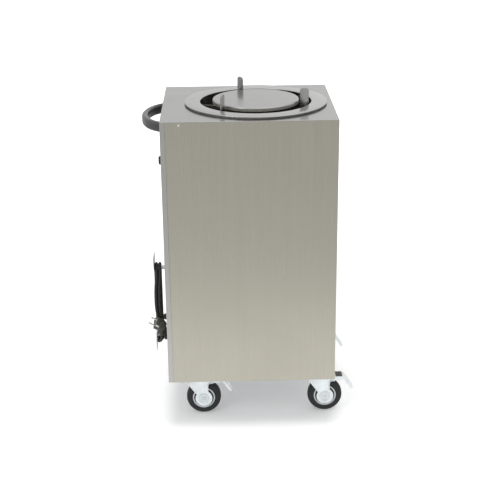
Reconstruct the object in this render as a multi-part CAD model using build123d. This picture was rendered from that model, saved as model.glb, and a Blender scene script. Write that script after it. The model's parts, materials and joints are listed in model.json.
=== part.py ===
from build123d import *
import os
from math import atan2, cos, degrees, dist, pi, radians, sin, sqrt, tan

os.makedirs("parts", exist_ok=True)

# Heated plate dispenser cart.  Millimetres, +Z up from the floor, +X is the way it
# rolls away from the handle, the origin is on the floor under the casing's centre.

# ---- running clearances ----
seat_gap = 0.3            # between sheets that are riveted or hooked together
bolt_clear = 0.15         # radial, bolts and screws in their holes
run_clear = 0.05          # radial, pins and axles that turn

# ---- casing ----
casing_x = 490.0
casing_y = 450.0
casing_height = 785.0
sheet = 1.2
bend_r = 2.2
return_flange = 14.0      # control panel's return on the front and back faces
joggle_width = 12.0
seam = 0.5
deck_flange = 20.0
tray_sheet = 1.5
tray_flange = 30.0
post_leg = 25.0
post_sheet = 1.5

# ---- castors ----
castor_height = 136.0
wheel_r = 52.0
tyre_width = 30.0
rim_r = 33.5
rim_width = 41.0
groove_r = 29.5
hub_r = 14.0
hub_width = 42.0
castor_in_x = 62.0        # swivel axes in from the casing's sides
castor_in_y = 76.0
trail = 39.0
cheek_gap = 44.0
cheek_sheet = 2.5
cheek_eye_r = 25.5
cheek_lip = 2.6
crown_sheet = 3.0
crown_top = 118.0
fork_front = 16.7         # top of the fork's sloped edge ahead of the swivel axis
fork_low_in = 15.0        # foot of the sloped edge ahead of the axle
fork_low_up = 9.6         # and above it
fork_back = 12.5          # upright's edge behind the axle
ear_low = 103.5           # lower edge of the ears over the tyre
ear_round = 9.0
ear_margin = 8.0          # ears past the pedal's pivot
crown_r = 24.0
race_r = 23.0
race_wall = 6.0
race_drop = 4.0
plate_x = 105.0
plate_y = 85.0
plate_sheet = 3.0
plate_hole_x = 80.0
plate_hole_y = 60.0
bolt_r = 4.0
bolt_head_r = 7.0
bolt_head = 5.3
nut_height = 6.5
kingpin_r = 6.0
kingpin_head_r = 10.0
kingpin_head = 3.0
axle_r = 6.0
axle_head_r = 9.0
axle_head = 5.0
pedal_width = 30.0
pedal_sheet = 2.0
pedal_pivot_x = 60.0
pedal_pivot_z = 109.0
pedal_pin_r = 3.0
pedal_knee_x = 97.0
pedal_knee_z = 115.0
pedal_reach = 126.0
pedal_toe_z = 71.0
pedal_flange = 11.5       # depth of the sides folded down along the leaf
pedal_flange_end = 94.0
blade_flange = 6.0        # depth of the blade's folded sides
pad_sheet = 3.0
brake_gap = 4.8           # shoe to tyre with the brake off
mount_pad_x = 108.0
mount_pad_y = 96.0
mount_pad_sheet = 3.0

# ---- deck opening, collar and dispenser tube ----
tube_x = 24.0             # the tube stands off the casing's centre, away from the controls
collar_width = 45.2
collar_lap = 2.2          # its bore stands inside the tube's wall
collar_lip = 5.0          # the top's overhang past the skirt that stands on the deck
collar_height = 6.0
collar_sheet = 1.5
collar_skirt = 16.0
tube_r = 163.0
tube_sheet = 1.2
tube_flange = 25.8
tube_bottom = 341.0
slot_width = 10.0
slot_top_margin = 9.0
slot_bottom_margin = 15.0
arm_angle = 46.8
stay_width = 25.0
stay_sheet = 3.0
stay_lap = 22.0
stay_foot = 25.0

# ---- lift ----
lift_gap = 4.7            # lift plate to the guides when they stand radial
lift_height = 12.0        # lift plate's top over the deck when empty
lift_sheet = 1.5
lift_rim = 11.0
lift_travel = 520.0
arm_height = 20.0
arm_sheet = 4.0
arm_drop = 26.0           # top of the arms under the lift plate's top
hub_tube_r = 31.0
hub_disc_r = 60.0
leg_gap = 15.8            # from the tube's wall to the line the springs pull along
leg_width = 20.0
leg_length = 206.0
spring_offset = 13.0
spring_r = 7.0
spring_wall = 2.2
eye_r = 5.0
eye_wire = 1.2
hook_r = 2.5
hook_rise = 8.0
crosspin_r = 2.5
hanger_sheet = 3.0
hanger_half = 26.0
buffer_height = 9.0
buffer_half = 8.0

# ---- plate guides ----
guide_angle = 108.2
guide_rise = 47.0         # over the deck
guide_width = 25.0
guide_sheet = 3.0
guide_turn = 19.0         # from radial, as photographed
guide_inset = 21.0        # middle of the bars in from the tube's wall
guide_corner = 9.0
guide_rod_r = 4.0
guide_foot = 8.0
guide_rod_stop = 12.0     # rod's end under the deck
lug_low = 40.0            # over the tube's bottom
lug_high = 45.0           # under the deck
lug_sheet = 3.0
lug_r = 8.0
lug_clear = 3.0

# ---- heater ----
heater_r = 105.0
heater_tube_r = 4.25
heater_z = 226.0
heater_open = 40.0
heater_tail = 45.0
heater_bracket = 20.0
bracket_sheet = 1.5

# ---- controls ----
control_z = 751.0
knob_skirt_r = 23.0
knob_skirt = 6.0
knob_grip_r = 13.0
knob_height = 20.5
spindle_r = 3.0
stat_size = 50.0
stat_depth = 38.0
stat_stem_r = 5.0
switch_y = 60.0
switch_width = 22.0
switch_height = 30.0
bezel = 2.0
bezel_rim = 1.8
switch_depth = 24.0
rocker_tilt = 9.0
rocker_pin_r = 2.0
rocker_pin_in = 2.0       # its axis behind the panel's face
bulb_r = 3.0
bulb_length = 80.0
bulb_angle = 196.0
bulb_z = 571.0
capillary_r = 1.0
block_x = 24.0
block_y = 60.0
block_z = 22.0
block_in = 40.0           # its middle behind the control panel
capillary_drop = 45.0
loom_rise = 60.0
loom_step = 130.0

# ---- handle ----
handle_reach = 61.0
handle_half = 126.8
handle_section_h = 29.0
handle_section_t = 19.0
handle_round = 8.0
handle_drop = 25.5        # its top under the deck
handle_screw_y = 112.0
handle_screw_r = 3.0
handle_screw_in = 11.0

# ---- cord winder, cord and plug ----
winder_y = -75.0
winder_z = 333.0
winder_height = 302.0
winder_width = 60.0
winder_waist = 18.0
winder_sheet = 1.5
standoff_span = 220.0
standoff_r = 6.0
standoff_length = 37.8
cord_r = 4.7
turn_gap = 0.9
hank_lean = 4.4           # the near runs hang out past their top turn by this much
hank_spread = 5.0         # and this much nearer
winding_clear = 0.3
gland_y = -25.0
gland_z = 261.0
gland_hex_r = 12.0
gland_hex = 4.0
gland_taper = 16.0
gland_thread_r = 9.0
gland_nut = 5.0
plug_y = -113.0
plug_face_x = -284.0
plug_face_z = 280.0
plug_tilt = 27.0
plug_r = 19.0
plug_barrel = 21.0
plug_back = 12.0
plug_neck = 26.0
prong_r = 2.4
prong_length = 19.0
prong_pitch = 19.0
screw_r = 2.0
screw_head_r = 3.8
screw_head = 2.2

# ---- places worked out from the sizes above ----
casing_bottom = castor_height
deck_z = casing_bottom + casing_height
half_x = casing_x / 2
half_y = casing_y / 2
inner_x = half_x - sheet
inner_y = half_y - sheet
wall_top = deck_z - sheet - seam
tray_top = casing_bottom + tray_sheet
arm_angles = [arm_angle + 120 * i for i in range(3)]
guide_angles = [guide_angle + 120 * i for i in range(3)]
tube_outer_r = tube_r + tube_sheet
tube_flange_r = tube_outer_r + tube_flange
collar_bore_r = tube_r - collar_lap
collar_r = collar_bore_r + collar_width
leg_r = tube_outer_r + leg_gap
guide_centre_r = tube_r - guide_inset
lift_r = guide_centre_r - guide_width / 2 - lift_gap
castor_x = half_x - castor_in_x
castor_y = half_y - castor_in_y
lift_top = deck_z + lift_height
arm_top = lift_top - arm_drop
leg_bottom = arm_top - leg_length
hook_z = arm_top - hook_rise
crosspin_z = leg_bottom + crosspin_r + 1.5
wheel_z = wheel_r
plate_face_x = -half_x - standoff_length
standoff_z = (winder_z - standoff_span / 2, winder_z + standoff_span / 2)
turn_r = standoff_r + cord_r + winding_clear
turn_pitch = 2 * cord_r + turn_gap


def box(x0, x1, y0, y1, z0, z1):
    """Block between two corners."""
    size = (x1 - x0, y1 - y0, z1 - z0)
    return Pos((x0 + x1) / 2, (y0 + y1) / 2, (z0 + z1) / 2) * Box(*size)


def rod(r, z0, z1, x=0.0, y=0.0):
    """Upright cylinder."""
    return Pos(x, y, (z0 + z1) / 2) * Cylinder(r, z1 - z0)


def rod_x(r, x0, x1, y=0.0, z=0.0):
    """Cylinder along X."""
    return Pos((x0 + x1) / 2, y, z) * Rot(0, 90, 0) * Cylinder(r, x1 - x0)


def rod_y(r, y0, y1, x=0.0, z=0.0):
    """Cylinder along Y."""
    return Pos(x, (y0 + y1) / 2, z) * Rot(90, 0, 0) * Cylinder(r, y1 - y0)


def pipe(r_out, r_in, z0, z1, x=0.0, y=0.0):
    """Upright hollow cylinder."""
    return rod(r_out, z0, z1, x, y) - rod(r_in, z0 - 1, z1 + 1, x, y)


def hexagon(r, z0, z1, x=0.0, y=0.0):
    """Upright hexagonal prism, r across the corners' circle."""
    face = Pos(x, y, z0) * RegularPolygon(r, 6)
    return extrude(face, z1 - z0)


def rounded_tube(x_size, y_size, z0, z1, wall, corner):
    """Rectangular tube with bent corners, open top and bottom."""
    outer = RectangleRounded(x_size, y_size, corner)
    inner = RectangleRounded(x_size - 2 * wall, y_size - 2 * wall, max(corner - wall, 0.2))
    return Pos(0, 0, z0) * extrude(outer - inner, z1 - z0)


def at_angle(shape, angle):
    """Turn a piece modelled along +X about the dispenser tube's axis."""
    return Pos(tube_x, 0, 0) * Rot(0, 0, angle) * shape


def joined(shapes):
    """One solid from overlapping ones."""
    total = shapes[0]
    for shape in shapes[1:]:
        total = total + shape
    return total


def save(name, shapes):
    """Write one node; a list is a group of separate solids."""
    if isinstance(shapes, (list, tuple)):
        shape = Compound(children=[s.solid() for s in shapes])
    else:
        shape = shapes
    shape.label = name
    export_step(shape, "parts/" + name + ".step")


# ---- casing ----
def casing_tube():
    return rounded_tube(casing_x, casing_y, casing_bottom, wall_top, sheet, bend_r)


def side_wrap():
    split = -half_x + return_flange + seam
    wrap = casing_tube() & box(split, half_x + 1, -half_y - 1, half_y + 1, casing_bottom - 1, wall_top + 1)
    return wrap.solid()


def control_panel():
    split = -half_x + return_flange
    panel = casing_tube() & box(-half_x - 1, split, -half_y - 1, half_y + 1, casing_bottom - 1, wall_top + 1)
    for side in (-1, 1):
        face = side * (inner_y - seat_gap)
        back = side * (inner_y - seat_gap - sheet)
        low, high = min(face, back), max(face, back)
        z0 = tray_top + tray_flange + 1
        z1 = deck_z - sheet - deck_flange - 1
        panel += box(split - sheet, split + joggle_width, low, high, z0, z1)
        link0, link1 = sorted((side * (half_y - sheet / 2), back))
        panel += box(split - sheet, split, link0, link1, z0, z1)
    panel -= rod_x(stat_stem_r + bolt_clear, -half_x - 1, -inner_x + 1, 0, control_z)
    half_w = switch_width / 2 - bezel_rim + bolt_clear
    half_h = switch_height / 2 - bezel_rim + bolt_clear
    panel -= box(-half_x - 1, -inner_x + 1, switch_y - half_w, switch_y + half_w,
                 control_z - half_h, control_z + half_h)
    panel -= rod_x(gland_thread_r + bolt_clear, -half_x - 1, -inner_x + 1, gland_y, gland_z)
    for z in standoff_z:
        panel -= rod_x(screw_r + bolt_clear, -half_x - 1, -inner_x + 1, winder_y, z)
    for y in (-handle_screw_y, handle_screw_y):
        panel -= rod_x(handle_screw_r + bolt_clear, -half_x - 1, -inner_x + 1, y, handle_z())
    return panel.solid()


def deck():
    top = Pos(0, 0, deck_z - sheet) * extrude(RectangleRounded(casing_x, casing_y, bend_r), sheet)
    top = chamfer(top.faces().sort_by(Axis.Z)[-1].outer_wire().edges(), sheet * 0.45)
    skirt_x = casing_x - 2 * (sheet + seat_gap)
    skirt_y = casing_y - 2 * (sheet + seat_gap)
    skirt = rounded_tube(skirt_x, skirt_y, deck_z - sheet - deck_flange, deck_z - sheet / 2, sheet, bend_r)
    hole = rod(tube_outer_r + 2, deck_z - sheet - 1, deck_z + 1, tube_x)
    holes = [rod(screw_r + bolt_clear, deck_z - sheet - 1, deck_z + 1, x, y) for x, y in flange_screws()]
    panel = top + skirt - hole
    for h in holes:
        panel -= h
    return panel.solid()


def flange_screws():
    """Screws through the tube's flange, between the arms and the guides."""
    r = (tube_outer_r + tube_flange_r) / 2 + 4
    angles = [arm_angle + 30 + 60 * i for i in range(6)]
    return [(tube_x + r * cos(radians(a)), r * sin(radians(a))) for a in angles]


def base_tray():
    size_x = casing_x - 2 * (sheet + seat_gap)
    size_y = casing_y - 2 * (sheet + seat_gap)
    floor_sheet = Pos(0, 0, casing_bottom) * extrude(RectangleRounded(size_x, size_y, bend_r), tray_sheet)
    rim = rounded_tube(size_x, size_y, casing_bottom, tray_top + tray_flange, sheet, bend_r)
    tray = floor_sheet + rim
    for x, y in castor_bolt_places():
        tray -= rod(bolt_r + bolt_clear, casing_bottom - 1, tray_top + 1, x, y)
    return tray.solid()


def castor_places():
    return [(sx * castor_x, sy * castor_y) for sx in (-1, 1) for sy in (-1, 1)]


def castor_bolt_places():
    offsets = [(sx * plate_hole_x / 2, sy * plate_hole_y / 2) for sx in (-1, 1) for sy in (-1, 1)]
    return [(x + dx, y + dy) for x, y in castor_places() for dx, dy in offsets]


def castor_pads():
    """Reinforcing plates inside the tray over the castors."""
    pads = []
    for x, y in castor_places():
        pad = box(x - mount_pad_x / 2, x + mount_pad_x / 2, y - mount_pad_y / 2, y + mount_pad_y / 2,
                  tray_top, tray_top + mount_pad_sheet)
        for dx in (-plate_hole_x / 2, plate_hole_x / 2):
            for dy in (-plate_hole_y / 2, plate_hole_y / 2):
                pad -= rod(bolt_r + bolt_clear, tray_top - 1, tray_top + mount_pad_sheet + 1, x + dx, y + dy)
        pads.append(pad)
    return pads


def corner_posts():
    """Angle posts inside the tray's and the deck's flanges."""
    outer_x = half_x - sheet - seat_gap - sheet - seat_gap
    outer_y = half_y - sheet - seat_gap - sheet - seat_gap
    posts = []
    for sx in (-1, 1):
        for sy in (-1, 1):
            xs = sorted((sx * outer_x, sx * (outer_x - post_leg)))
            ys = sorted((sy * outer_y, sy * (outer_y - post_leg)))
            xi = sorted((sx * (outer_x - post_sheet), sx * (outer_x - post_leg - 1)))
            yi = sorted((sy * (outer_y - post_sheet), sy * (outer_y - post_leg - 1)))
            z0, z1 = tray_top, deck_z - sheet - seat_gap
            posts.append(box(*xs, *ys, z0, z1) - box(*xi, *yi, z0 - 1, z1 + 1))
    return posts


def panel_screws():
    """Pan-head screws: tube flange, winder standoffs from inside and winder plate."""
    screws = []
    head_base = deck_z + tube_sheet
    for x, y in flange_screws():
        shank = rod(screw_r, deck_z - 6, head_base + 0.5, x, y)
        screws.append(shank + rod(screw_head_r, head_base, head_base + screw_head, x, y))
    depth = 8.0
    for z in standoff_z:
        inside = rod_x(screw_r, -half_x - depth, -inner_x + 0.5, winder_y, z)
        screws.append(inside + rod_x(screw_head_r, -inner_x, -inner_x + screw_head, winder_y, z))
        outer = plate_face_x - winder_sheet
        outside = rod_x(screw_r, outer - 0.5, plate_face_x + depth, winder_y, z)
        screws.append(outside + rod_x(screw_head_r, outer - screw_head, outer, winder_y, z))
    return screws


# ---- collar, tube and what hangs on it ----
def collar_ring():
    top = deck_z + collar_height
    ring = pipe(collar_r, collar_bore_r, top - collar_sheet, top)
    skirt_r = collar_r - collar_lip
    ring += pipe(skirt_r, skirt_r - collar_sheet, deck_z, top)
    ring += pipe(collar_bore_r + collar_sheet, collar_bore_r, deck_z - collar_skirt + collar_height, top)
    edges = [e for e in ring.edges().filter_by(GeomType.CIRCLE) if abs(e.center().Z - top) < 0.01]
    ring = fillet(edges, collar_sheet * 0.8)
    return (Pos(tube_x, 0, 0) * ring).solid()


def dispenser_tube():
    body = pipe(tube_outer_r, tube_r, tube_bottom, deck_z + tube_sheet)
    for angle in arm_angles:
        slot = box(tube_r - 2, tube_outer_r + 2, -slot_width / 2, slot_width / 2,
                   tube_bottom + slot_bottom_margin, deck_z - slot_top_margin)
        body -= Rot(0, 0, angle) * slot
    return (Pos(tube_x, 0, 0) * body).solid()


def tube_collar():
    """Flat flange round the tube's mouth, screwed down on the deck."""
    flange = pipe(tube_flange_r, tube_outer_r + run_clear, deck_z, deck_z + tube_sheet, tube_x)
    for x, y in flange_screws():
        flange -= rod(screw_r + bolt_clear, deck_z - 1, deck_z + tube_sheet + 1, x, y)
    return flange.solid()


def guide_lugs():
    """Drilled ears on the tube's wall that the guides' rods turn in."""
    lugs = []
    for angle in guide_angles:
        for z in lug_heights():
            lug = box(rod_place_r(), tube_r, -lug_r, lug_r, z, z + lug_sheet)
            lug += rod(lug_r, z, z + lug_sheet, rod_place_r())
            lug -= rod(guide_rod_r + run_clear, z - 1, z + lug_sheet + 1, rod_place_r())
            lug &= rod(tube_r - run_clear, z - 1, z + lug_sheet + 1)
            lugs.append(at_angle(lug, angle))
    return lugs


def lug_heights():
    return (tube_bottom + lug_low, deck_z - lug_high)


def tube_stays():
    stays = []
    for angle in guide_angles:
        inner = tube_outer_r + seat_gap
        bar = box(inner, inner + stay_sheet, -stay_width / 2, stay_width / 2, tray_top, tube_bottom + stay_lap)
        foot = box(inner, inner + stay_foot, -stay_width / 2, stay_width / 2, tray_top, tray_top + stay_sheet)
        stays.append(at_angle(bar + foot, angle))
    return stays


def spring_hangers():
    """Bridge brackets under the deck, each with two hooks for the lift springs."""
    hangers = []
    under = deck_z - sheet
    for angle in arm_angles:
        r0 = tube_outer_r + 4
        r1 = leg_r + leg_width / 2 + 4
        top = box(r0, r1, -hanger_half, hanger_half, under - hanger_sheet, under)
        parts = [top]
        for side in (-1, 1):
            ys = sorted((side * hanger_half, side * (hanger_half - hanger_sheet)))
            parts.append(box(leg_r - 10, r1, *ys, hook_z - 6, under))
            pin = sorted((side * (hanger_half - hanger_sheet / 2), side * (spring_offset - spring_r)))
            parts.append(rod_y(hook_r, *pin, leg_r, hook_z))
        hangers.append(at_angle(joined(parts), angle))
    return hangers


def stop_buffers():
    under = deck_z - sheet - hanger_sheet
    buffers = []
    for angle in arm_angles:
        block = box(leg_r - buffer_half, leg_r + buffer_half, -buffer_half, buffer_half, arm_top + seat_gap, under)
        buffers.append(at_angle(block, angle))
    return buffers


# ---- lift ----
def lift_plate():
    disc = rod(lift_r, lift_top - lift_rim, lift_top)
    disc = fillet(disc.edges().sort_by(Axis.Z)[-1], lift_sheet * 1.6)
    hollow = rod(lift_r - lift_sheet, lift_top - lift_rim - 1, lift_top - lift_sheet)
    hollow = fillet(hollow.edges().sort_by(Axis.Z)[-1], lift_sheet * 0.6)
    return (Pos(tube_x, 0, 0) * (disc - hollow)).solid()


def lift_spider():
    under = lift_top - lift_sheet
    hub = rod(hub_disc_r, arm_top, arm_top + 3) + pipe(hub_tube_r, hub_tube_r - 3, arm_top, under)
    parts = [hub]
    reach = leg_r + leg_width / 2
    for angle in arm_angles:
        arm = box(8, reach, -arm_sheet / 2, arm_sheet / 2, arm_top - arm_height, arm_top + 1)
        arm = arm & box(0, reach + 1, -20, 20, arm_top - arm_height, arm_top)
        leg = box(reach - leg_width, reach, -arm_sheet / 2, arm_sheet / 2, leg_bottom, arm_top)
        pin = rod_y(crosspin_r, -spring_offset - spring_r, spring_offset + spring_r, leg_r, crosspin_z)
        parts.append(Rot(0, 0, angle) * (arm + leg + pin))
    core = rod(14, arm_top - arm_height, arm_top + 1)
    return (Pos(tube_x, 0, 0) * joined(parts + [core])).solid()


def lift_spring():
    """Extension spring with an eye at each end, at the tube's axis plus leg_r."""
    reach = eye_r - eye_wire
    top_eye = hook_z + hook_r + run_clear - reach
    low_eye = crosspin_z - crosspin_r - run_clear + reach
    eye = Rot(90, 0, 0) * Torus(eye_r, eye_wire)
    coil_top = top_eye - eye_r - eye_wire + 0.8
    coil_low = low_eye + eye_r + eye_wire - 0.8
    coil = pipe(spring_r, spring_r - spring_wall, coil_low, coil_top)
    caps = rod(spring_r, coil_top - 1.5, coil_top) + rod(spring_r, coil_low, coil_low + 1.5)
    return Pos(0, 0, top_eye) * eye + coil + caps + Pos(0, 0, low_eye) * eye


def lift_springs():
    springs = []
    for angle in arm_angles:
        for side in (-1, 1):
            springs.append(at_angle(Pos(leg_r, side * spring_offset, 0) * lift_spring(), angle))
    return springs


# ---- plate guides ----
def rod_place_r():
    """Radius of the guides' pivot rods: the bar's outer edge lies over the rod."""
    return guide_centre_r + (guide_width / 2 - guide_rod_r) * cos(radians(guide_turn))


def guide_fin(angle):
    """Flat bar on an upright rod, notched where the tube's lugs hold the rod."""
    low, high = lug_heights()
    bottom = low - guide_foot
    bar = box(-guide_width + guide_rod_r, guide_rod_r, -guide_sheet / 2, guide_sheet / 2,
              low + lug_sheet + run_clear, deck_z + guide_rise)
    corners = [e for e in bar.edges().filter_by(Axis.Y) if e.center().Z > deck_z]
    bar = fillet(corners, guide_corner)
    notch = lug_r + lug_clear
    bar -= box(-notch, guide_rod_r + 1, -5, 5, high - lug_clear, high + lug_sheet + run_clear)
    bar -= box(-notch, guide_rod_r + 1, -5, 5, low, low + lug_sheet + run_clear)
    stem = rod(guide_rod_r, bottom, deck_z - guide_rod_stop)
    turned = Rot(0, 0, guide_turn) * (bar + stem)
    return at_angle(Pos(rod_place_r(), 0, 0) * turned, angle).solid()


# ---- heater ----
def heater_element():
    half = heater_open / 2
    end_x = heater_r * cos(radians(180 - half))
    end_y = heater_r * sin(radians(180 - half))
    ring = ThreePointArc((end_x, end_y, 0), (heater_r, 0, 0), (end_x, -end_y, 0))
    circle = Plane(origin=(end_x, end_y, 0), z_dir=ring % 0) * Circle(heater_tube_r)
    element = sweep(circle, path=ring)
    for side in (-1, 1):
        joint = Pos(end_x, side * end_y, 0) * Sphere(heater_tube_r)
        element += joint + rod_x(heater_tube_r, end_x - heater_tail, end_x, side * end_y, 0)
    return (Pos(tube_x, 0, heater_z) * element).solid()


def heater_brackets():
    brackets = []
    top = heater_z - heater_tube_r - 0.1
    half = heater_bracket / 2
    for angle in (0, 120, 240):
        r1 = heater_r + half
        web = box(r1, r1 + bracket_sheet, -half, half, tray_top, top)
        foot = box(r1, r1 + heater_bracket, -half, half, tray_top, tray_top + bracket_sheet)
        seat = box(heater_r - half, r1 + bracket_sheet, -half, half, top - bracket_sheet, top)
        brackets.append(at_angle(joined([web, foot, seat]), angle))
    return brackets


# ---- controls ----
def thermostat_body():
    half = stat_size / 2
    body = box(-inner_x, -inner_x + stat_depth, -half, half, control_z - half, control_z + half)
    stem = rod_x(stat_stem_r, -half_x - 2, -inner_x + 1, 0, control_z)
    bore = rod_x(spindle_r + run_clear, -half_x - 3, -inner_x + 12, 0, control_z)
    return (body + stem - bore).solid()


def thermostat_knob():
    x0 = -half_x - 2 - seat_gap
    skirt = rod_x(knob_skirt_r, x0 - knob_skirt, x0, 0, control_z)
    grip = rod_x(knob_grip_r, -half_x - knob_height, x0 - knob_skirt + 1, 0, control_z)
    knob = skirt + grip
    knob = fillet(knob.edges().filter_by(GeomType.CIRCLE).sort_by(Axis.X)[0], 2.5)
    groove = box(-half_x - knob_height - 1, -half_x - knob_height + 0.8, -0.8, 0.8,
                 control_z, control_z + knob_grip_r)
    knob -= groove
    spindle = rod_x(spindle_r, x0 - 1, -inner_x + 11, 0, control_z)
    return (knob + spindle).solid()


def switch_housing():
    half_w, half_h = switch_width / 2, switch_height / 2
    rim = box(-half_x - bezel, -half_x, switch_y - half_w, switch_y + half_w, control_z - half_h, control_z + half_h)
    rim = fillet(rim.edges().filter_by(Axis.X), 2)
    neck_w, neck_h = half_w - bezel_rim, half_h - bezel_rim
    body = box(-half_x - 0.5, -half_x + switch_depth, switch_y - neck_w, switch_y + neck_w,
               control_z - neck_h, control_z + neck_h)
    well_w, well_h = neck_w - 1.6, neck_h - 1.6
    well = box(-half_x - bezel - 1, -half_x + 12, switch_y - well_w, switch_y + well_w,
               control_z - well_h, control_z + well_h)
    pin = rod_y(rocker_pin_r + run_clear, switch_y - rocker_pin_half() - seat_gap,
                switch_y + rocker_pin_half() + seat_gap, -half_x + rocker_pin_in, control_z)
    tabs = [box(-half_x + switch_depth - 1, -half_x + switch_depth + 8, switch_y - 3, switch_y + 3,
                control_z + dz - 0.4, control_z + dz + 0.4) for dz in (-8, 0, 8)]
    return joined([rim + body - well - pin] + tabs).solid()


def rocker_pin_half():
    return switch_width / 2 - bezel_rim - 0.7


def switch_rocker():
    """Rocker on its own cross pin, shown switched off."""
    half_w = switch_width / 2 - bezel_rim - 1.6 - 0.4
    half_h = switch_height / 2 - bezel_rim - 1.6 - 1.9
    face = box(-bezel - 4.5, rocker_pin_in + 2, -half_w, half_w, -half_h, half_h)
    face = fillet(face.edges().filter_by(Axis.Y).sort_by(Axis.X)[:2], 1.5)
    scoop = Pos(-bezel - 4.5 - 26.5, 0, 0) * Rot(90, 0, 0) * Cylinder(28, 2 * half_w + 2)
    pin = rod_y(rocker_pin_r, -rocker_pin_half(), rocker_pin_half(), rocker_pin_in)
    rocker = Pos(-rocker_pin_in, 0, 0) * (face - scoop + pin)
    return (Pos(-half_x + rocker_pin_in, switch_y, control_z) * Rot(0, -rocker_tilt, 0) * rocker).solid()


def thermostat_bulb():
    """Bulb against the tube's wall, on its capillary from the thermostat."""
    r = tube_outer_r + bulb_r + 0.1
    bx = tube_x + r * cos(radians(bulb_angle))
    by = r * sin(radians(bulb_angle))
    start_x = -inner_x + stat_depth
    start_z = control_z - stat_size / 4
    bulb = rod(bulb_r, bulb_z - bulb_length, bulb_z, bx, by)
    points = [(start_x, 0, start_z), (start_x + 14, 0, start_z), (start_x + 22, by, start_z - capillary_drop),
              (bx, by, bulb_z + capillary_drop), (bx, by, bulb_z - 2)]
    path = FilletPolyline(*points, radius=[6, 14, 14])
    section = Plane(origin=points[0], z_dir=(1, 0, 0)) * Circle(capillary_r)
    return (bulb + sweep(section, path=path)).solid()


def block_place():
    return (-inner_x + block_in, gland_y - 10)


def terminal_block():
    x, y = block_place()
    block = box(x - block_x / 2, x + block_x / 2, y - block_y / 2, y + block_y / 2, tray_top, tray_top + block_z)
    for k in range(5):
        yy = y - block_y / 2 + 6 + k * (block_y - 12) / 4
        block -= rod(2, tray_top + block_z - 8, tray_top + block_z + 1, x, yy)
    return block.solid()


def cable_gland():
    """Nut, tapered sleeve, thread through the panel and lock nut inside."""
    face = -half_x
    turned = Pos(face, gland_y, gland_z) * Rot(0, -90, 0)
    nut = extrude(RegularPolygon(gland_hex_r, 6), gland_hex)
    sleeve = Pos(0, 0, gland_hex + gland_taper / 2) * Cone(gland_hex_r - 3, cord_r + 1.6, gland_taper)
    thread = Pos(0, 0, -sheet / 2 - gland_nut / 2) * Cylinder(gland_thread_r, gland_nut + sheet)
    lock = Pos(0, 0, -sheet) * extrude(RegularPolygon(gland_hex_r + 1, 6), -gland_nut)
    body = turned * joined([nut, sleeve, thread, lock])
    bore = rod_x(cord_r + run_clear, face - 30, face + 20, gland_y, gland_z)
    return (body - bore).solid()


# ---- handle ----
def handle_z():
    return deck_z - handle_drop - handle_section_h / 2


def handle_bow(f):
    """Fraction of the bow's reach left at a fraction f of its half span."""
    bow_power = 1.73
    return (1 - f ** bow_power) ** (1 / bow_power)


def handle():
    reach = handle_reach - handle_section_t / 2
    half = handle_half - handle_section_t / 2
    z = handle_z()
    knee = 0.6
    knee_x = -half_x - reach * handle_bow(knee)
    middle = ThreePointArc((knee_x, -knee * half, z), (-half_x - reach, 0, z), (knee_x, knee * half, z))
    near = TangentArc((knee_x, -knee * half, z), (-half_x, -half, z), tangent=(middle % 0) * -1)
    far = TangentArc((knee_x, knee * half, z), (-half_x, half, z), tangent=middle % 1)
    start = far @ 1
    out_dir = far % 1
    tail_far = Line(start, start + out_dir * handle_section_t)
    end = near @ 1
    tail_near = Line(end, end + (near % 1) * handle_section_t)
    path = Wire([tail_near, near, middle, far, tail_far])
    first = tail_near @ 1
    plane = Plane(origin=first, z_dir=(near % 1) * -1, x_dir=(0, 0, 1))
    section = plane * RectangleRounded(handle_section_h, handle_section_t, handle_round)
    bow = sweep(section, path=path)
    reach_y = handle_half + handle_section_t
    bow = bow & box(-half_x - handle_reach - 5, -half_x, -reach_y, reach_y,
                    z - handle_section_h, z + handle_section_h)
    for y in (-handle_screw_y, handle_screw_y):
        bow -= rod_x(handle_screw_r + bolt_clear, -half_x - handle_screw_in - 1, -half_x + 1, y, z)
    return bow.solid()


def handle_screws():
    screws = []
    for y in (-handle_screw_y, handle_screw_y):
        shank = rod_x(handle_screw_r, -half_x - handle_screw_in, -inner_x + 0.5, y, handle_z())
        screws.append(shank + rod_x(handle_screw_r * 2, -inner_x, -inner_x + 3.5, y, handle_z()))
    return screws


# ---- cord winder ----
def winder_plate():
    half = winder_width / 2
    waist = winder_waist / 2
    z0, z1 = winder_z - winder_height / 2, winder_z + winder_height / 2
    shoulder = 32.0
    slope = 20.0
    points = [(-half, z0), (half, z0), (half, z0 + shoulder), (waist, z0 + shoulder + slope),
              (waist, z1 - shoulder - slope), (half, z1 - shoulder), (half, z1), (-half, z1),
              (-half, z1 - shoulder), (-waist, z1 - shoulder - slope),
              (-waist, z0 + shoulder + slope), (-half, z0 + shoulder)]
    outline = Plane(origin=(plate_face_x, winder_y, 0), x_dir=(0, 1, 0), z_dir=(1, 0, 0))
    face = outline * make_face(Polyline(*points, close=True))
    plate = extrude(face, -winder_sheet)
    plate = fillet(plate.edges().filter_by(Axis.X), 4)
    for z in standoff_z:
        plate -= rod_x(screw_r + bolt_clear, plate_face_x - winder_sheet - 1, plate_face_x + 1, winder_y, z)
    return plate.solid()


def winder_standoffs():
    posts = []
    for z in standoff_z:
        post = rod_x(standoff_r, plate_face_x, -half_x, winder_y, z)
        post -= rod_x(screw_r + run_clear, plate_face_x - 1, plate_face_x + 9, winder_y, z)
        post -= rod_x(screw_r + run_clear, -half_x - 9, -half_x + 1, winder_y, z)
        posts.append(post)
    return posts


# ---- cord ----
def winding_columns():
    """X of the cord's turns, from the one nearest the plate inwards."""
    outer = plate_face_x + cord_r + turn_gap
    return [outer + i * turn_pitch for i in range(3)]


def swept(path, start, direction):
    section = Plane(origin=start, z_dir=direction) * Circle(cord_r)
    return sweep(section, path=path)


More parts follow.
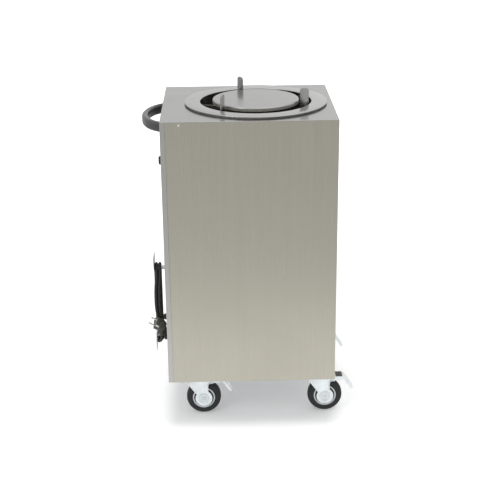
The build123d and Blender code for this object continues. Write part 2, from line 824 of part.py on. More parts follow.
def winding_path():
    """Bottom pass, near run, top pass, far run and so on round the two standoffs."""
    low, high = standoff_z
    cols = winding_columns()[::-1]
    pieces = []
    y_far, y_near = winder_y + turn_r, winder_y - turn_r
    corner = turn_r * sin(radians(45))
    start = (cols[0], winder_y + 2 * cord_r, low - turn_r)
    pieces.append(Line(start, (cols[0], winder_y, low - turn_r)))
    for k in range(2):
        here, nxt = cols[k], cols[k + 1]
        pieces.append(ThreePointArc((here, winder_y, low - turn_r),
                                    (here, winder_y - corner, low - corner), (here, y_near, low)))
        pieces.append(near_run(here, nxt, y_near, low, high))
        pieces.append(ThreePointArc((nxt, y_near, high), (nxt, winder_y, high + turn_r), (nxt, y_far, high)))
        pieces.append(Line((nxt, y_far, high), (nxt, y_far, low)))
        pieces.append(ThreePointArc((nxt, y_far, low), (nxt, winder_y + corner, low - corner),
                                    (nxt, winder_y, low - turn_r)))
    pieces.append(Line((cols[2], winder_y, low - turn_r), (cols[2], winder_y - 2 * cord_r, low - turn_r)))
    return pieces, start


def near_run(x0, x1, y, z0, z1):
    """Run up the near side: it hangs out past the plate's waist and steps across one turn."""
    span = z1 - z0
    out_x, out_y = x1 - hank_lean, y - hank_spread
    points = [(x0, y, z0), (out_x, out_y, z0 + 0.46 * span), (out_x, out_y, z0 + 0.6 * span), (x1, y, z1)]
    return Spline(*points, tangents=[(0, 0, 1), (0, 0, 1)])


def least_gap(path):
    """Clear space between the winding's turns, measured every few millimetres."""
    step = 3.0
    apart = 10                # places nearer along the cord than this many steps are neighbours
    count = int(path.length / step)
    places = [tuple(path @ (i / count)) for i in range(count + 1)]
    least = min(dist(a, b) for i, a in enumerate(places) for b in places[i + apart:])
    return least - 2 * cord_r


def cord_winding():
    pieces, start = winding_path()
    path = Wire(pieces)
    solid = swept(path, start, (0, -1, 0)).solid()
    print("least gap between turns", round(least_gap(path), 2))
    print("winding length", round(path.length, 1), "volume ratio",
          round(solid.volume / (pi * cord_r ** 2 * path.length), 4))
    return solid


def corner_radii(points):
    """Largest rounding each corner allows: 0.45 of its shorter run over tan(half turn)."""
    radii = []
    for a, b, c in zip(points, points[1:], points[2:]):
        u, v = Vector(*b) - Vector(*a), Vector(*c) - Vector(*b)
        turn = radians(u.get_angle(v))
        radii.append(0.45 * min(u.length, v.length) / tan(turn / 2))
    return radii


def gland_nose_x():
    return -half_x - gland_hex - gland_taper


def lead_points():
    """From the gland's nose down and under the lower standoff."""
    low = standoff_z[0] - turn_r
    col = winding_columns()[2]
    return [(gland_nose_x(), gland_y, gland_z), (-284.0, -24.0, 260.0), (-293.0, -23.0, 240.0),
            (-285.0, -23.0, 219.0), (-266.0, -32.0, 210.0), (col, -49.0, low),
            (col, winder_y + 2 * cord_r, low)]


def plug_entry():
    """Where the cord goes into the plug's neck, and the neck's direction there."""
    turned = radians(plug_tilt)
    centre_x = plug_face_x + plug_barrel * 0.55 * cos(turned)
    centre_z = plug_face_z - plug_barrel * 0.55 * sin(turned)
    return (centre_x + 7.0, plug_y, centre_z - plug_r - plug_neck + 7.0)


def tail_points():
    """From the winding's last pass out and up into the plug."""
    low = standoff_z[0] - turn_r
    col = winding_columns()[0]
    ex, ey, ez = plug_entry()
    turn_y = winder_y - 2 * cord_r - 15.6
    return [(col, winder_y - 2 * cord_r, low), (col, turn_y, low), (ex, ey, low + 12.0), (ex, ey, ez)]


def cord_runs():
    runs = []
    for name, points in (("lead", lead_points()), ("tail", tail_points())):
        radii = corner_radii(points)
        path = FilletPolyline(*points, radius=radii)
        direction = Vector(*points[1]) - Vector(*points[0])
        solid = swept(path, points[0], direction).solid()
        print(name, "length", round(path.length, 1), "radii", [round(r, 1) for r in radii],
              "volume ratio", round(solid.volume / (pi * cord_r ** 2 * path.length), 4))
        runs.append(solid)
    return runs


# ---- plug ----
def plug_frame():
    """Plug's own frame: Z out of its face along the prongs, Y across."""
    turned = radians(plug_tilt)
    return Plane(origin=(plug_face_x, plug_y, plug_face_z), x_dir=(0, 1, 0), z_dir=(-cos(turned), 0, sin(turned)))


def plug_body():
    frame = plug_frame()
    barrel = Pos(0, 0, -plug_barrel / 2) * Cylinder(plug_r, plug_barrel)
    back = Pos(0, 0, -plug_barrel - plug_back / 2) * Cone(plug_r * 0.72, plug_r, plug_back)
    body = frame.location * (barrel + back)
    ex, ey, ez = plug_entry()
    top = ez + plug_neck + 8
    neck = Pos(ex, ey, (ez + top) / 2) * Cone(cord_r + 1.5, 11.5, top - ez)
    slots = []
    for side in (-1, 1):
        slots.append(frame.location * (Pos(side * (plug_r - 0.6), 0, -6) * Box(2.4, 7, 14)))
    body = body + neck
    for slot in slots:
        body -= slot
    return body.solid()


def plug_contacts():
    """Two round prongs and the two side earth strips."""
    frame = plug_frame()
    contacts = []
    for side in (-1, 1):
        prong = Pos(0, side * prong_pitch / 2, prong_length / 2) * Cylinder(prong_r, prong_length)
        prong = fillet(prong.edges().sort_by(Axis.Z)[-1], prong_r * 0.6)
        contacts.append(frame.location * prong)
        strip = Pos(side * (plug_r - 1.2), 0, -6) * Box(1.0, 6, 13.4)
        contacts.append(frame.location * strip)
    return contacts


def wiring_loom():
    """Inner end of the lead, and the leads to the switch and the heater."""
    bx, by = block_place()
    top = tray_top + block_z
    inner = -inner_x + gland_nut
    mains = [(inner, gland_y, gland_z), (inner + 22, gland_y, gland_z - 4), (inner + 32, gland_y - 4, gland_z - 34),
             (bx, by, top + 34), (bx, by, top)]
    switch = [(bx, by + 18, top), (bx, by + 18, top + loom_rise), (bx - 12, switch_y - 14, top + loom_step),
              (bx - 8, switch_y - 14, control_z - loom_rise), (-half_x + switch_depth + 30, switch_y, control_z - 8),
              (-half_x + switch_depth + 8.1, switch_y, control_z - 8)]
    end_x = tube_x + heater_r * cos(radians(180 - heater_open / 2)) - heater_tail
    end_y = -heater_r * sin(radians(180 - heater_open / 2))
    heat = [(bx, by - 18, top), (bx, by - 18, top + 26), (bx + 14, by - 12, heater_z - 16),
            (end_x - 22, end_y, heater_z), (end_x, end_y, heater_z)]
    leads = []
    for points, r in ((mains, cord_r - 0.6), (switch, 2.6), (heat, 2.2)):
        radii = [min(k, 25.0) for k in corner_radii(points)]
        path = FilletPolyline(*points, radius=radii)
        direction = Vector(*points[1]) - Vector(*points[0])
        section = Plane(origin=points[0], z_dir=direction) * Circle(r)
        leads.append(sweep(section, path=path).solid())
    return leads


# ---- castors, each modelled with its swivel axis at the origin, trailing towards +X ----
def castor_plate():
    z0 = castor_height - plate_sheet
    blank = Pos(0, 0, z0) * extrude(RectangleRounded(plate_x, plate_y, 8), plate_sheet)
    for dx in (-plate_hole_x / 2, plate_hole_x / 2):
        for dy in (-plate_hole_y / 2, plate_hole_y / 2):
            blank -= rod(bolt_r + bolt_clear, z0 - 1, castor_height + 1, dx, dy)
    race = pipe(race_r, race_r - race_wall, z0 - race_drop, z0 + 0.5)
    pin_low = crown_top - crown_sheet - seat_gap - kingpin_head
    pin = rod(kingpin_r, pin_low, castor_height)
    head = rod(kingpin_head_r, pin_low, pin_low + kingpin_head)
    return joined([blank, race, pin, head])


def fork_back_x():
    return trail + fork_back


def cheek_face():
    """Side of the fork: sloped in front, upright behind the axle, and an ear over the tyre."""
    back_x = fork_back_x()
    ear_end = pedal_pivot_x + ear_margin
    front_low = (trail - fork_low_in, wheel_z + fork_low_up)
    corners = [(-fork_front, crown_top), front_low, (trail, wheel_z), (back_x, wheel_z),
               (back_x, ear_low), (ear_end, ear_low), (ear_end, crown_top)]
    face = make_face(Polyline(*corners, close=True))
    inner = face.vertices().sort_by_distance((back_x, ear_low, 0))[0]
    return fillet(inner, ear_round).face(), corners


def castor_fork():
    half = cheek_gap / 2
    outer = half + cheek_sheet
    face, corners = cheek_face()
    parts = []
    for side in (-1, 1):
        low = min(side * half, side * outer)
        cheek = Pos(0, low, 0) * extrude(Plane.XZ * face, -cheek_sheet)
        cheek += rod_y(cheek_eye_r, low, low + cheek_sheet, trail, wheel_z)
        (x0, z0), (x1, z1) = corners[0], corners[1]
        run = sqrt((x1 - x0) ** 2 + (z1 - z0) ** 2)
        slope = degrees(atan2(z0 - z1, x1 - x0))
        lip_y = sorted((side * half, side * (outer + cheek_lip)))
        lip = box(0, run - 4, *lip_y, -cheek_sheet, 0)
        cheek += Pos(x0, 0, z0) * Rot(0, slope, 0) * lip
        parts.append(cheek)
    crown = box(-fork_front, fork_back_x(), -outer, outer, crown_top - crown_sheet, crown_top)
    crown += rod(crown_r, crown_top - crown_sheet, crown_top)
    race = pipe(race_r, race_r - race_wall, crown_top - 0.5, castor_height - plate_sheet - race_drop - seat_gap)
    fork = joined([crown, race] + parts)
    fork -= rod(kingpin_r + run_clear, crown_top - 20, crown_top + 30)
    fork -= rod_y(axle_r + run_clear, -outer - 5, outer + 5, trail, wheel_z)
    fork -= rod_y(pedal_pin_r + run_clear, -outer - 1, outer + 1, pedal_pivot_x, pedal_pivot_z)
    return fork


def castor_axle():
    outer = cheek_gap / 2 + cheek_sheet
    axle = rod_y(axle_r, -outer - 0.5, outer + 0.5, trail, wheel_z)
    for side in (-1, 1):
        ys = sorted((side * outer, side * (outer + axle_head)))
        nut = Pos(trail, 0, wheel_z) * Rot(90, 0, 0) * extrude(RegularPolygon(axle_head_r, 6), axle_head)
        centre = (ys[0] + ys[1]) / 2
        axle += Pos(0, centre + axle_head / 2, 0) * nut
    return axle


def castor_rim():
    half = rim_width / 2
    rim = rod_y(rim_r, -half, half)
    for side in (-1, 1):
        ys = sorted((side * (half - 4), side * (half + 1)))
        rim -= rod_y(groove_r, *ys) - rod_y(cheek_eye_r - 1, *ys)
    rim += rod_y(hub_r, -hub_width / 2, hub_width / 2)
    rim -= rod_y(axle_r + run_clear, -hub_width, hub_width)
    return Pos(trail, 0, wheel_z) * rim


def castor_tyre():
    tyre = rod_y(wheel_r, -tyre_width / 2, tyre_width / 2)
    tyre = fillet(tyre.edges().filter_by(GeomType.CIRCLE), 5)
    tyre -= rod_y(rim_r, -tyre_width, tyre_width)
    return Pos(trail, 0, wheel_z) * tyre


def castor_pedal():
    """Brake pedal: leaf over the wheel, black tread and the blade the foot presses."""
    half = pedal_width / 2
    inside, outside = cheek_gap / 2 - seat_gap, cheek_gap / 2 + cheek_sheet
    hub = rod_y(pedal_pin_r + 2.2, -inside, inside, pedal_pivot_x, pedal_pivot_z)
    pin = rod_y(pedal_pin_r, -outside, outside, pedal_pivot_x, pedal_pivot_z)
    leaf_z = pedal_pivot_z + pedal_pin_r
    leaf = box(pedal_pivot_x, pedal_knee_x, -half, half, leaf_z, leaf_z + pedal_sheet)
    shoe = box(pedal_pivot_x - 2, pedal_pivot_x + 14, -half + 4, half - 4, wheel_z + 30, pedal_pivot_z + 4)
    shoe -= rod_y(wheel_r + brake_gap, -half, half, trail, wheel_z)
    run = sqrt((pedal_reach - pedal_knee_x) ** 2 + (pedal_knee_z - pedal_toe_z) ** 2)
    slope = degrees(atan2(pedal_knee_z - pedal_toe_z, pedal_reach - pedal_knee_x))
    blade = box(0, run, -half, half, -blade_flange, 0)
    blade -= box(-1, run + 1, -half + pedal_sheet, half - pedal_sheet, -blade_flange - 1, -pedal_sheet)
    blade = Pos(pedal_knee_x, 0, pedal_knee_z) * Rot(0, slope, 0) * blade
    tread = box(pedal_pivot_x + 12, pedal_knee_x - 6, -half, half,
                leaf_z + pedal_sheet / 2, leaf_z + pedal_sheet + pad_sheet)
    for k in range(4):
        x = pedal_pivot_x + 15 + k * 4
        tread -= box(x, x + 1.6, -half - 1, half + 1, leaf_z + pedal_sheet + pad_sheet - 1, leaf_z + 20)
    parts = [hub, pin, leaf, shoe, blade, tread]
    low = leaf_z - pedal_flange
    outline = [(pedal_pivot_x + 1, leaf_z + 1), (pedal_pivot_x - 4, pedal_pivot_z), (pedal_pivot_x + 2, low + 4),
               (pedal_pivot_x + 10, low), (pedal_flange_end - 6, low), (pedal_flange_end, leaf_z + 1)]
    for side in (-1, 1):
        flat = make_face(Polyline(*outline, close=True))
        y0 = min(side * half, side * (half - pedal_sheet))
        parts.append(Pos(0, y0, 0) * extrude(Plane.XZ * flat, -pedal_sheet))
    return joined(parts)


def castor_bolts():
    """Hexagon bolts up through plate, tray and pad, with nuts on the pads."""
    pieces = []
    head_top = castor_height - plate_sheet
    pad_top = tray_top + mount_pad_sheet
    for x, y in castor_bolt_places():
        shank = rod(bolt_r, head_top - 0.5, pad_top + nut_height + 3, x, y)
        pieces.append(shank + hexagon(bolt_head_r, head_top - bolt_head, head_top, x, y))
        nut = hexagon(bolt_head_r, pad_top, pad_top + nut_height, x, y)
        pieces.append(nut - rod(bolt_r + run_clear, pad_top - 1, pad_top + nut_height + 1, x, y))
    return pieces


def build_castors():
    names = {(-1, -1): "front_left", (-1, 1): "rear_left", (1, -1): "front_right", (1, 1): "rear_right"}
    save("castor_plates", [Pos(x, y, 0) * castor_plate() for x, y in castor_places()])
    for (sx, sy), name in names.items():
        place = Pos(sx * castor_x, sy * castor_y, 0)
        save("fork_" + name, (place * castor_fork()).solid())
        save("axle_" + name, (place * castor_axle()).solid())
        save("rim_" + name, (place * castor_rim()).solid())
        save("tyre_" + name, (place * castor_tyre()).solid())
        save("brake_pedal_" + name, (place * castor_pedal()).solid())


save("base_tray", base_tray())
save("castor_pads", castor_pads())
save("corner_posts", corner_posts())
save("side_wrap", side_wrap())
save("control_panel", control_panel())
save("deck", deck())
save("panel_screws", panel_screws())
save("castor_bolts", castor_bolts())
save("collar_ring", collar_ring())
save("dispenser_tube", dispenser_tube())
save("tube_flange", tube_collar())
save("guide_lugs", guide_lugs())
save("tube_stays", tube_stays())
save("spring_hangers", spring_hangers())
save("stop_buffers", stop_buffers())
save("lift_plate", lift_plate())
save("lift_spider", lift_spider())
save("lift_springs", lift_springs())
for letter, angle in zip("abc", guide_angles):
    save("guide_fin_" + letter, guide_fin(angle))
save("heater_element", heater_element())
save("heater_brackets", heater_brackets())
save("thermostat_body", thermostat_body())
save("thermostat_bulb", thermostat_bulb())
save("thermostat_knob", thermostat_knob())
save("switch_housing", switch_housing())
save("switch_rocker", switch_rocker())
save("terminal_block", terminal_block())
save("wiring_loom", wiring_loom())
save("cable_gland", cable_gland())
save("handle", handle())
save("handle_screws", handle_screws())
save("winder_plate", winder_plate())
save("winder_standoffs", winder_standoffs())
save("cord_winding", cord_winding())
save("cord_runs", cord_runs())
save("plug_body", plug_body())
save("plug_contacts", plug_contacts())
build_castors()
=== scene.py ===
import json
from math import cos, pi, radians, sin, tan

import bmesh
import bpy
from mathutils import Matrix, Vector

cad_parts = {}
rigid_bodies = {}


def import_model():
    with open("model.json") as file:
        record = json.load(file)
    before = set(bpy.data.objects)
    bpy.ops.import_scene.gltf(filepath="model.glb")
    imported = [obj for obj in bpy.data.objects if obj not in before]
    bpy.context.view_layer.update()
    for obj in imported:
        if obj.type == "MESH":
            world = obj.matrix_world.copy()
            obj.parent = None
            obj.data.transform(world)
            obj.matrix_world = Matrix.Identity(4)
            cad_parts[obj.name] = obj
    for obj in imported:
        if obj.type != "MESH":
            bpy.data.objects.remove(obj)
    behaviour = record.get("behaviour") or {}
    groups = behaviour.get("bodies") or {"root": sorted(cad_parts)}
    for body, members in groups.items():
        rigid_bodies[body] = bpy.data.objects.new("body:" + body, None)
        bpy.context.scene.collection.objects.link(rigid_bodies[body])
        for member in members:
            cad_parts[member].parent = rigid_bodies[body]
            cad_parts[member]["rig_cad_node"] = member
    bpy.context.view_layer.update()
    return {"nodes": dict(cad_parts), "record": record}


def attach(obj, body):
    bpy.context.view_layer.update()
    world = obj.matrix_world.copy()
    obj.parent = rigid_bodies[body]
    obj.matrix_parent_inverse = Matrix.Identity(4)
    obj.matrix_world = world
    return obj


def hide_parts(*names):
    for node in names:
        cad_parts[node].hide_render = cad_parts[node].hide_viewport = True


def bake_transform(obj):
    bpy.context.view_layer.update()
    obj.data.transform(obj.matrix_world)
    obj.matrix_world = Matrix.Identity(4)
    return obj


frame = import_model()
nodes = frame["nodes"]
print("frame loaded:", len(nodes), "nodes")

# where the photograph was taken from, in metres and degrees; lens and sensor in millimetres
view = {
    "place": (-0.07328, -3.22148, 1.6663), "yaw": 1.3636, "pitch": 20.456, "roll": -0.552,
    "lens": 81.55, "sensor": 36, "reach": 60,
}


def makeCamera(s):
    yaw, pitch, roll = radians(s["yaw"]), radians(s["pitch"]), radians(s["roll"])
    forward = Vector((sin(yaw) * cos(pitch), cos(yaw) * cos(pitch), -sin(pitch)))
    right = Vector((cos(yaw), -sin(yaw), 0))
    up = right.cross(forward)
    rolledRight = right * cos(roll) + up * sin(roll)
    rolledUp = up * cos(roll) - right * sin(roll)
    turn = Matrix((rolledRight, rolledUp, -forward)).transposed()
    data = bpy.data.cameras.new("camera")
    data.lens, data.sensor_width, data.clip_end = s["lens"], s["sensor"], s["reach"]
    cam = bpy.data.objects.new("camera", data)
    cam.matrix_world = Matrix.Translation(s["place"]) @ turn.to_4x4()
    bpy.context.scene.collection.objects.link(cam)
    bpy.context.scene.camera = cam


makeCamera(view)
print("camera placed")


def newMaterial(name):
    mat = bpy.data.materials.new(name)
    mat.use_nodes = True
    return mat, mat.node_tree, mat.node_tree.nodes["Principled BSDF"]


def addNode(tree, kind, values=None, **settings):
    node = tree.nodes.new("ShaderNode" + kind)
    for key, value in settings.items():
        setattr(node, key, value)
    for key, value in (values or {}).items():
        node.inputs[key].default_value = value
    return node


def feed(tree, socket, value):
    # a number, a colour or another node's output
    if isinstance(value, (int, float)):
        socket.default_value = value
    elif isinstance(value, tuple):
        socket.default_value = (*value, 1)
    else:
        tree.links.new(value, socket)


def calc(tree, operation, a, b):
    node = addNode(tree, "Math", operation=operation)
    feed(tree, node.inputs[0], a)
    feed(tree, node.inputs[1], b)
    return node.outputs[0]


def mixColour(tree, factor, low, high):
    node = addNode(tree, "Mix", data_type="RGBA")
    for socket, value in zip((node.inputs[0], node.inputs[6], node.inputs[7]), (factor, low, high)):
        feed(tree, socket, value)
    return node.outputs[2]


def noiseOn(tree, size, detail, rough=0.55, stretch=(1, 1, 1)):
    # noise in the piece's own coordinates, in metres
    coords = addNode(tree, "TexCoord")
    mapping = addNode(tree, "Mapping", {"Scale": stretch})
    noise = addNode(tree, "TexNoise", {"Scale": size, "Detail": detail, "Roughness": rough})
    tree.links.new(coords.outputs["Object"], mapping.inputs["Vector"])
    tree.links.new(mapping.outputs["Vector"], noise.inputs["Vector"])
    return noise.outputs["Fac"]


def ranged(tree, value, low, high, fromLow=0.3, fromHigh=0.7, **settings):
    # the noise seldom leaves 0.3 to 0.7
    limits = {"From Min": fromLow, "From Max": fromHigh, "To Min": low, "To Max": high}
    node = addNode(tree, "MapRange", limits, **settings)
    tree.links.new(value, node.inputs["Value"])
    return node.outputs["Result"]


def spread(tree, value, middle, reach):
    # a roughness that varies by reach below and above its middle
    return ranged(tree, value, middle - reach[0], middle + reach[1])


def shade(colour, k):
    return tuple(min(1.0, c * k) for c in colour)


def mottled(tree, value, colour, dark, light):
    return mixColour(tree, ranged(tree, value, 0, 1), shade(colour, dark), shade(colour, light))


def edgeNormal(tree, radius):
    return addNode(tree, "Bevel", {"Radius": radius}, samples=4).outputs["Normal"]


def edgeMask(tree, radius):
    # 0 on the flats, 1 along the edges
    geometry = addNode(tree, "NewGeometry")
    dot = addNode(tree, "VectorMath", operation="DOT_PRODUCT")
    tree.links.new(edgeNormal(tree, radius), dot.inputs[0])
    tree.links.new(geometry.outputs["Normal"], dot.inputs[1])
    return ranged(tree, dot.outputs["Value"], 1.0, 0.0, 0.8, 0.995)


def rubbed(tree, edge, amount, base, colour):
    # the base with its edges worn to another colour
    return mixColour(tree, calc(tree, "MULTIPLY", edgeMask(tree, edge), amount), base, colour)


def finishBump(tree, shader, bumps, edge):
    # chains the bumps (height, strength, distance) over softly rounded edges
    normal = edgeNormal(tree, edge) if edge else None
    for height, strength, distance in bumps:
        bump = addNode(tree, "Bump", {"Strength": strength, "Distance": distance})
        tree.links.new(height, bump.inputs["Height"])
        if normal is not None:
            tree.links.new(normal, bump.inputs["Normal"])
        normal = bump.outputs["Normal"]
    tree.links.new(normal, shader.inputs["Normal"])


# brushed sheet: fine and broad lines (along, across the grain), dull clouds and slow waves
brushing = {
    "fine": (6, 900), "broad": (1.2, 70), "fineShare": 0.35, "cloudSize": 5, "dull": 0.8,
    "rubbed": 1.35, "lineRough": 0.05, "cloudRough": (0.03, 0.05), "lineBump": (0.1, 0.0002),
    "waveSize": 2.4, "waveReach": 0.02,
}
# plated steel: a soft spangle under a fine speck
plating = {
    "spangleRough": 0.65, "speckSize": 900, "shades": (0.88, 1.08), "wear": 0.5, "rubbed": 1.3,
    "rough": (0.06, 0.08), "speckBump": (0.08, 0.0003), "spangleBump": (0.05, 0.002),
}
# plastic and rubber: pores, and clouds of handling
moulding = {"cloudSize": 30, "shades": (0.85, 1.18), "rough": (0.05, 0.07), "poreReach": 0.0004}


def alongGrain(axis, lines):
    along, across = lines
    return tuple(along if name == axis else across for name in "xyz")


def brushedSteel(name, s, b=brushing):
    mat, tree, shader = newMaterial(name)
    fine = noiseOn(tree, 1, 2, stretch=alongGrain(s["grain"], b["fine"]))
    broad = noiseOn(tree, 1, 3, stretch=alongGrain(s["grain"], b["broad"]))
    cloud = noiseOn(tree, b["cloudSize"], 3)
    wave = noiseOn(tree, b["waveSize"], 1)
    lines = calc(tree, "ADD", calc(tree, "MULTIPLY", fine, b["fineShare"]),
                 calc(tree, "MULTIPLY", broad, 1 - b["fineShare"]))
    base = mottled(tree, lines, s["colour"], 1 - s["streak"], 1 + s["streak"])
    clouded = mixColour(tree, ranged(tree, cloud, 0, s["cloud"]), base, shade(s["colour"], b["dull"]))
    worn = rubbed(tree, s["edge"], s["wear"], clouded, shade(s["colour"], b["rubbed"]))
    roughness = calc(tree, "ADD", ranged(tree, fine, -b["lineRough"], b["lineRough"]),
                     spread(tree, cloud, s["rough"], b["cloudRough"]))
    tree.links.new(worn, shader.inputs["Base Color"])
    tree.links.new(roughness, shader.inputs["Roughness"])
    shader.inputs["Metallic"].default_value = 1.0
    finishBump(tree, shader, [(fine, *b["lineBump"]), (wave, s["wave"], b["waveReach"])], s["edge"])
    return mat


def platedSteel(name, s, b=plating):
    mat, tree, shader = newMaterial(name)
    spangle = noiseOn(tree, s["spangle"], 4, rough=b["spangleRough"])
    speck = noiseOn(tree, b["speckSize"], 2)
    base = mottled(tree, spangle, s["colour"], *b["shades"])
    worn = rubbed(tree, s["edge"], b["wear"], base, shade(s["colour"], b["rubbed"]))
    tree.links.new(worn, shader.inputs["Base Color"])
    tree.links.new(spread(tree, spangle, s["rough"], b["rough"]), shader.inputs["Roughness"])
    shader.inputs["Metallic"].default_value = s["metal"]
    finishBump(tree, shader, [(speck, *b["speckBump"]), (spangle, *b["spangleBump"])], s["edge"])
    return mat


def mouldedPlastic(name, s, b=moulding):
    mat, tree, shader = newMaterial(name)
    pores = noiseOn(tree, s["pore"], 2)
    cloud = noiseOn(tree, b["cloudSize"], 4)
    base = mottled(tree, cloud, s["colour"], *b["shades"])
    worn = rubbed(tree, s["edge"], s["wear"], base, s["worn"])
    tree.links.new(worn, shader.inputs["Base Color"])
    tree.links.new(spread(tree, cloud, s["rough"], b["rough"]), shader.inputs["Roughness"])
    shader.inputs["Specular IOR Level"].default_value = s.get("specular", 0.5)
    finishBump(tree, shader, [(pores, s["bump"], b["poreReach"])], s["edge"])
    return mat


steels = {
    "casing_steel": {"colour": (0.518, 0.502, 0.428), "grain": "z", "streak": 0.022, "cloud": 0.1,
                     "rough": 0.3, "edge": 0.0012, "wear": 0.35, "wave": 0.05},
    "deck_steel": {"colour": (0.4, 0.398, 0.39), "grain": "x", "streak": 0.03, "cloud": 0.08,
                   "rough": 0.2, "edge": 0.001, "wear": 0.35, "wave": 0.04},
    "collar_steel": {"colour": (0.47, 0.467, 0.455), "grain": "x", "streak": 0.02, "cloud": 0.06,
                     "rough": 0.19, "edge": 0.0008, "wear": 0.3, "wave": 0.02},
    "lift_steel": {"colour": (0.385, 0.381, 0.375), "grain": "x", "streak": 0.03, "cloud": 0.08,
                   "rough": 0.2, "edge": 0.0008, "wear": 0.4, "wave": 0.03},
    "rim_steel": {"colour": (0.4, 0.395, 0.36), "grain": "x", "streak": 0.03, "cloud": 0.08,
                  "rough": 0.58, "edge": 0.0008, "wear": 0.4, "wave": 0.03},
    "guide_steel": {"colour": (0.37, 0.37, 0.36), "grain": "z", "streak": 0.04, "cloud": 0.1,
                    "rough": 0.3, "edge": 0.0008, "wear": 0.5, "wave": 0.03},
    "panel_steel": {"colour": (0.505, 0.502, 0.483), "grain": "z", "streak": 0.03, "cloud": 0.1,
                    "rough": 0.3, "edge": 0.0012, "wear": 0.35, "wave": 0.05},
    # darker and browner: painted shade of the deep well, where little light falls
    "tube_steel": {"colour": (0.33, 0.315, 0.265), "grain": "z", "streak": 0.06, "cloud": 0.25,
                   "rough": 0.38, "edge": 0.0005, "wear": 0.3, "wave": 0.02},
    "winder_steel": {"colour": (0.55, 0.55, 0.54), "grain": "z", "streak": 0.03, "cloud": 0.1,
                     "rough": 0.32, "edge": 0.0005, "wear": 0.4, "wave": 0.02},
    "spring_steel": {"colour": (0.42, 0.43, 0.44), "grain": "z", "streak": 0.05, "cloud": 0.15,
                     "rough": 0.3, "edge": 0.0003, "wear": 0.2, "wave": 0.01},
    "heater_sheath": {"colour": (0.2, 0.18, 0.16), "grain": "x", "streak": 0.06, "cloud": 0.4,
                      "rough": 0.42, "edge": 0.0004, "wear": 0.2, "wave": 0.02},
}
platings = {
    "galvanised": {"colour": (0.5, 0.52, 0.53), "spangle": 60, "rough": 0.42, "metal": 0.85, "edge": 0.0006},
    "zinc": {"colour": (0.8, 0.85, 0.87), "spangle": 45, "rough": 0.26, "metal": 0.9, "edge": 0.0006},
    "axle_zinc": {"colour": (0.69, 0.725, 0.73), "spangle": 45, "rough": 0.26, "metal": 0.9, "edge": 0.0006},
    "brass": {"colour": (0.62, 0.6, 0.54), "spangle": 80, "rough": 0.22, "metal": 1.0, "edge": 0.0004},
}
plastics = {
    "grey_plastic": {"colour": (0.55, 0.55, 0.53), "pore": 1500, "rough": 0.45, "bump": 0.08,
                     "edge": 0.0006, "wear": 0.2, "worn": (0.7, 0.7, 0.68)},
    "rim_plastic": {"colour": (0.84, 0.87, 0.88), "pore": 1200, "rough": 0.35, "bump": 0.06,
                    "edge": 0.0006, "wear": 0.3, "worn": (0.78, 0.81, 0.82)},
    "black_plastic": {"colour": (0.022, 0.022, 0.022), "pore": 1400, "rough": 0.42, "bump": 0.1,
                      "edge": 0.0006, "wear": 0.3, "worn": (0.07, 0.07, 0.07)},
    "handle_plastic": {"colour": (0.057, 0.057, 0.057), "pore": 900, "rough": 0.22, "bump": 0.08,
                       "edge": 0.001, "wear": 0.15, "worn": (0.09, 0.09, 0.09), "specular": 0.7},
    "black_rubber": {"colour": (0.022, 0.021, 0.02), "pore": 1600, "rough": 0.55, "bump": 0.12,
                     "edge": 0.0006, "wear": 0.2, "worn": (0.06, 0.06, 0.06), "specular": 0.35},
    "grey_rubber": {"colour": (0.053, 0.052, 0.048), "pore": 1500, "rough": 0.4, "bump": 0.1,
                    "edge": 0.0006, "wear": 0.3, "worn": (0.1, 0.1, 0.095)},
    # painted shade: the colour of the band under the collar's lip
    "seal_rubber": {"colour": (0.2, 0.198, 0.187), "pore": 1500, "rough": 0.4, "bump": 0.1,
                    "edge": 0.0006, "wear": 0.3, "worn": (0.26, 0.26, 0.25)},
    "tread_rubber": {"colour": (0.105, 0.104, 0.1), "pore": 1500, "rough": 0.45, "bump": 0.1,
                     "edge": 0.0004, "wear": 0.6, "worn": (0.3, 0.3, 0.29)},
    "cord_rubber": {"colour": (0.036, 0.035, 0.032), "pore": 700, "rough": 0.52, "bump": 0.14,
                    "edge": 0, "wear": 0.0, "worn": (0.05, 0.05, 0.05), "specular": 0.35},
    "tyre_rubber": {"colour": (0.024, 0.027, 0.028), "pore": 800, "rough": 0.6, "bump": 0.16,
                    "edge": 0.0008, "wear": 0.35, "worn": (0.075, 0.08, 0.08), "specular": 0.35},
}
finishes = {}
for make, table in ((brushedSteel, steels), (platedSteel, platings), (mouldedPlastic, plastics)):
    finishes.update({name: make(name, s) for name, s in table.items()})


def dress(obj, slotName, finish=None):
    obj.data.materials.clear()
    obj.data.materials.append(finishes[finish or slotName])


# steel inside the well painted darker than its slot's finish, as painted shade of the deep well, and greyer
# on the controls' end
ownFinish = {"dispenser_tube": "tube_steel", "lift_spider": "tube_steel", "control_panel": "panel_steel"}
for row in frame["record"]["subparts"]:
    dress(nodes[row["node"]], row["material_slot"], ownFinish.get(row["node"]))
print("materials made:", len(finishes))


def makeObject(name, data):
    obj = bpy.data.objects.new(name, data)
    bpy.context.scene.collection.objects.link(obj)
    return obj


# degrees past which an edge is shaded sharp
sharpOn = {"turned": 40, "cut": 35, "fastener": 32}
# metres between points that are one, degrees between faces that are one flat, metres that count as none
merging = {"built": 1e-7, "cad": 2e-6, "flat": 0.6}
nothing = 1e-9
# sides of the small turned pieces
sides = {"head": 20, "shank": 12, "bolt": 14, "rivet": 18, "thread": 40, "barrel": 64, "neck": 48, "pin": 24}


def smoothed(mesh, sharp):
    mesh.shade_smooth()
    mesh.set_sharp_from_angle(angle=radians(sharp))


def meshFrom(name, bm, sharp=None):
    bmesh.ops.remove_doubles(bm, verts=bm.verts, dist=merging["built"])
    bmesh.ops.recalc_face_normals(bm, faces=bm.faces)
    mesh = bpy.data.meshes.new(name)
    bm.to_mesh(mesh)
    bm.free()
    if sharp:
        smoothed(mesh, sharp)
    return makeObject(name, mesh)


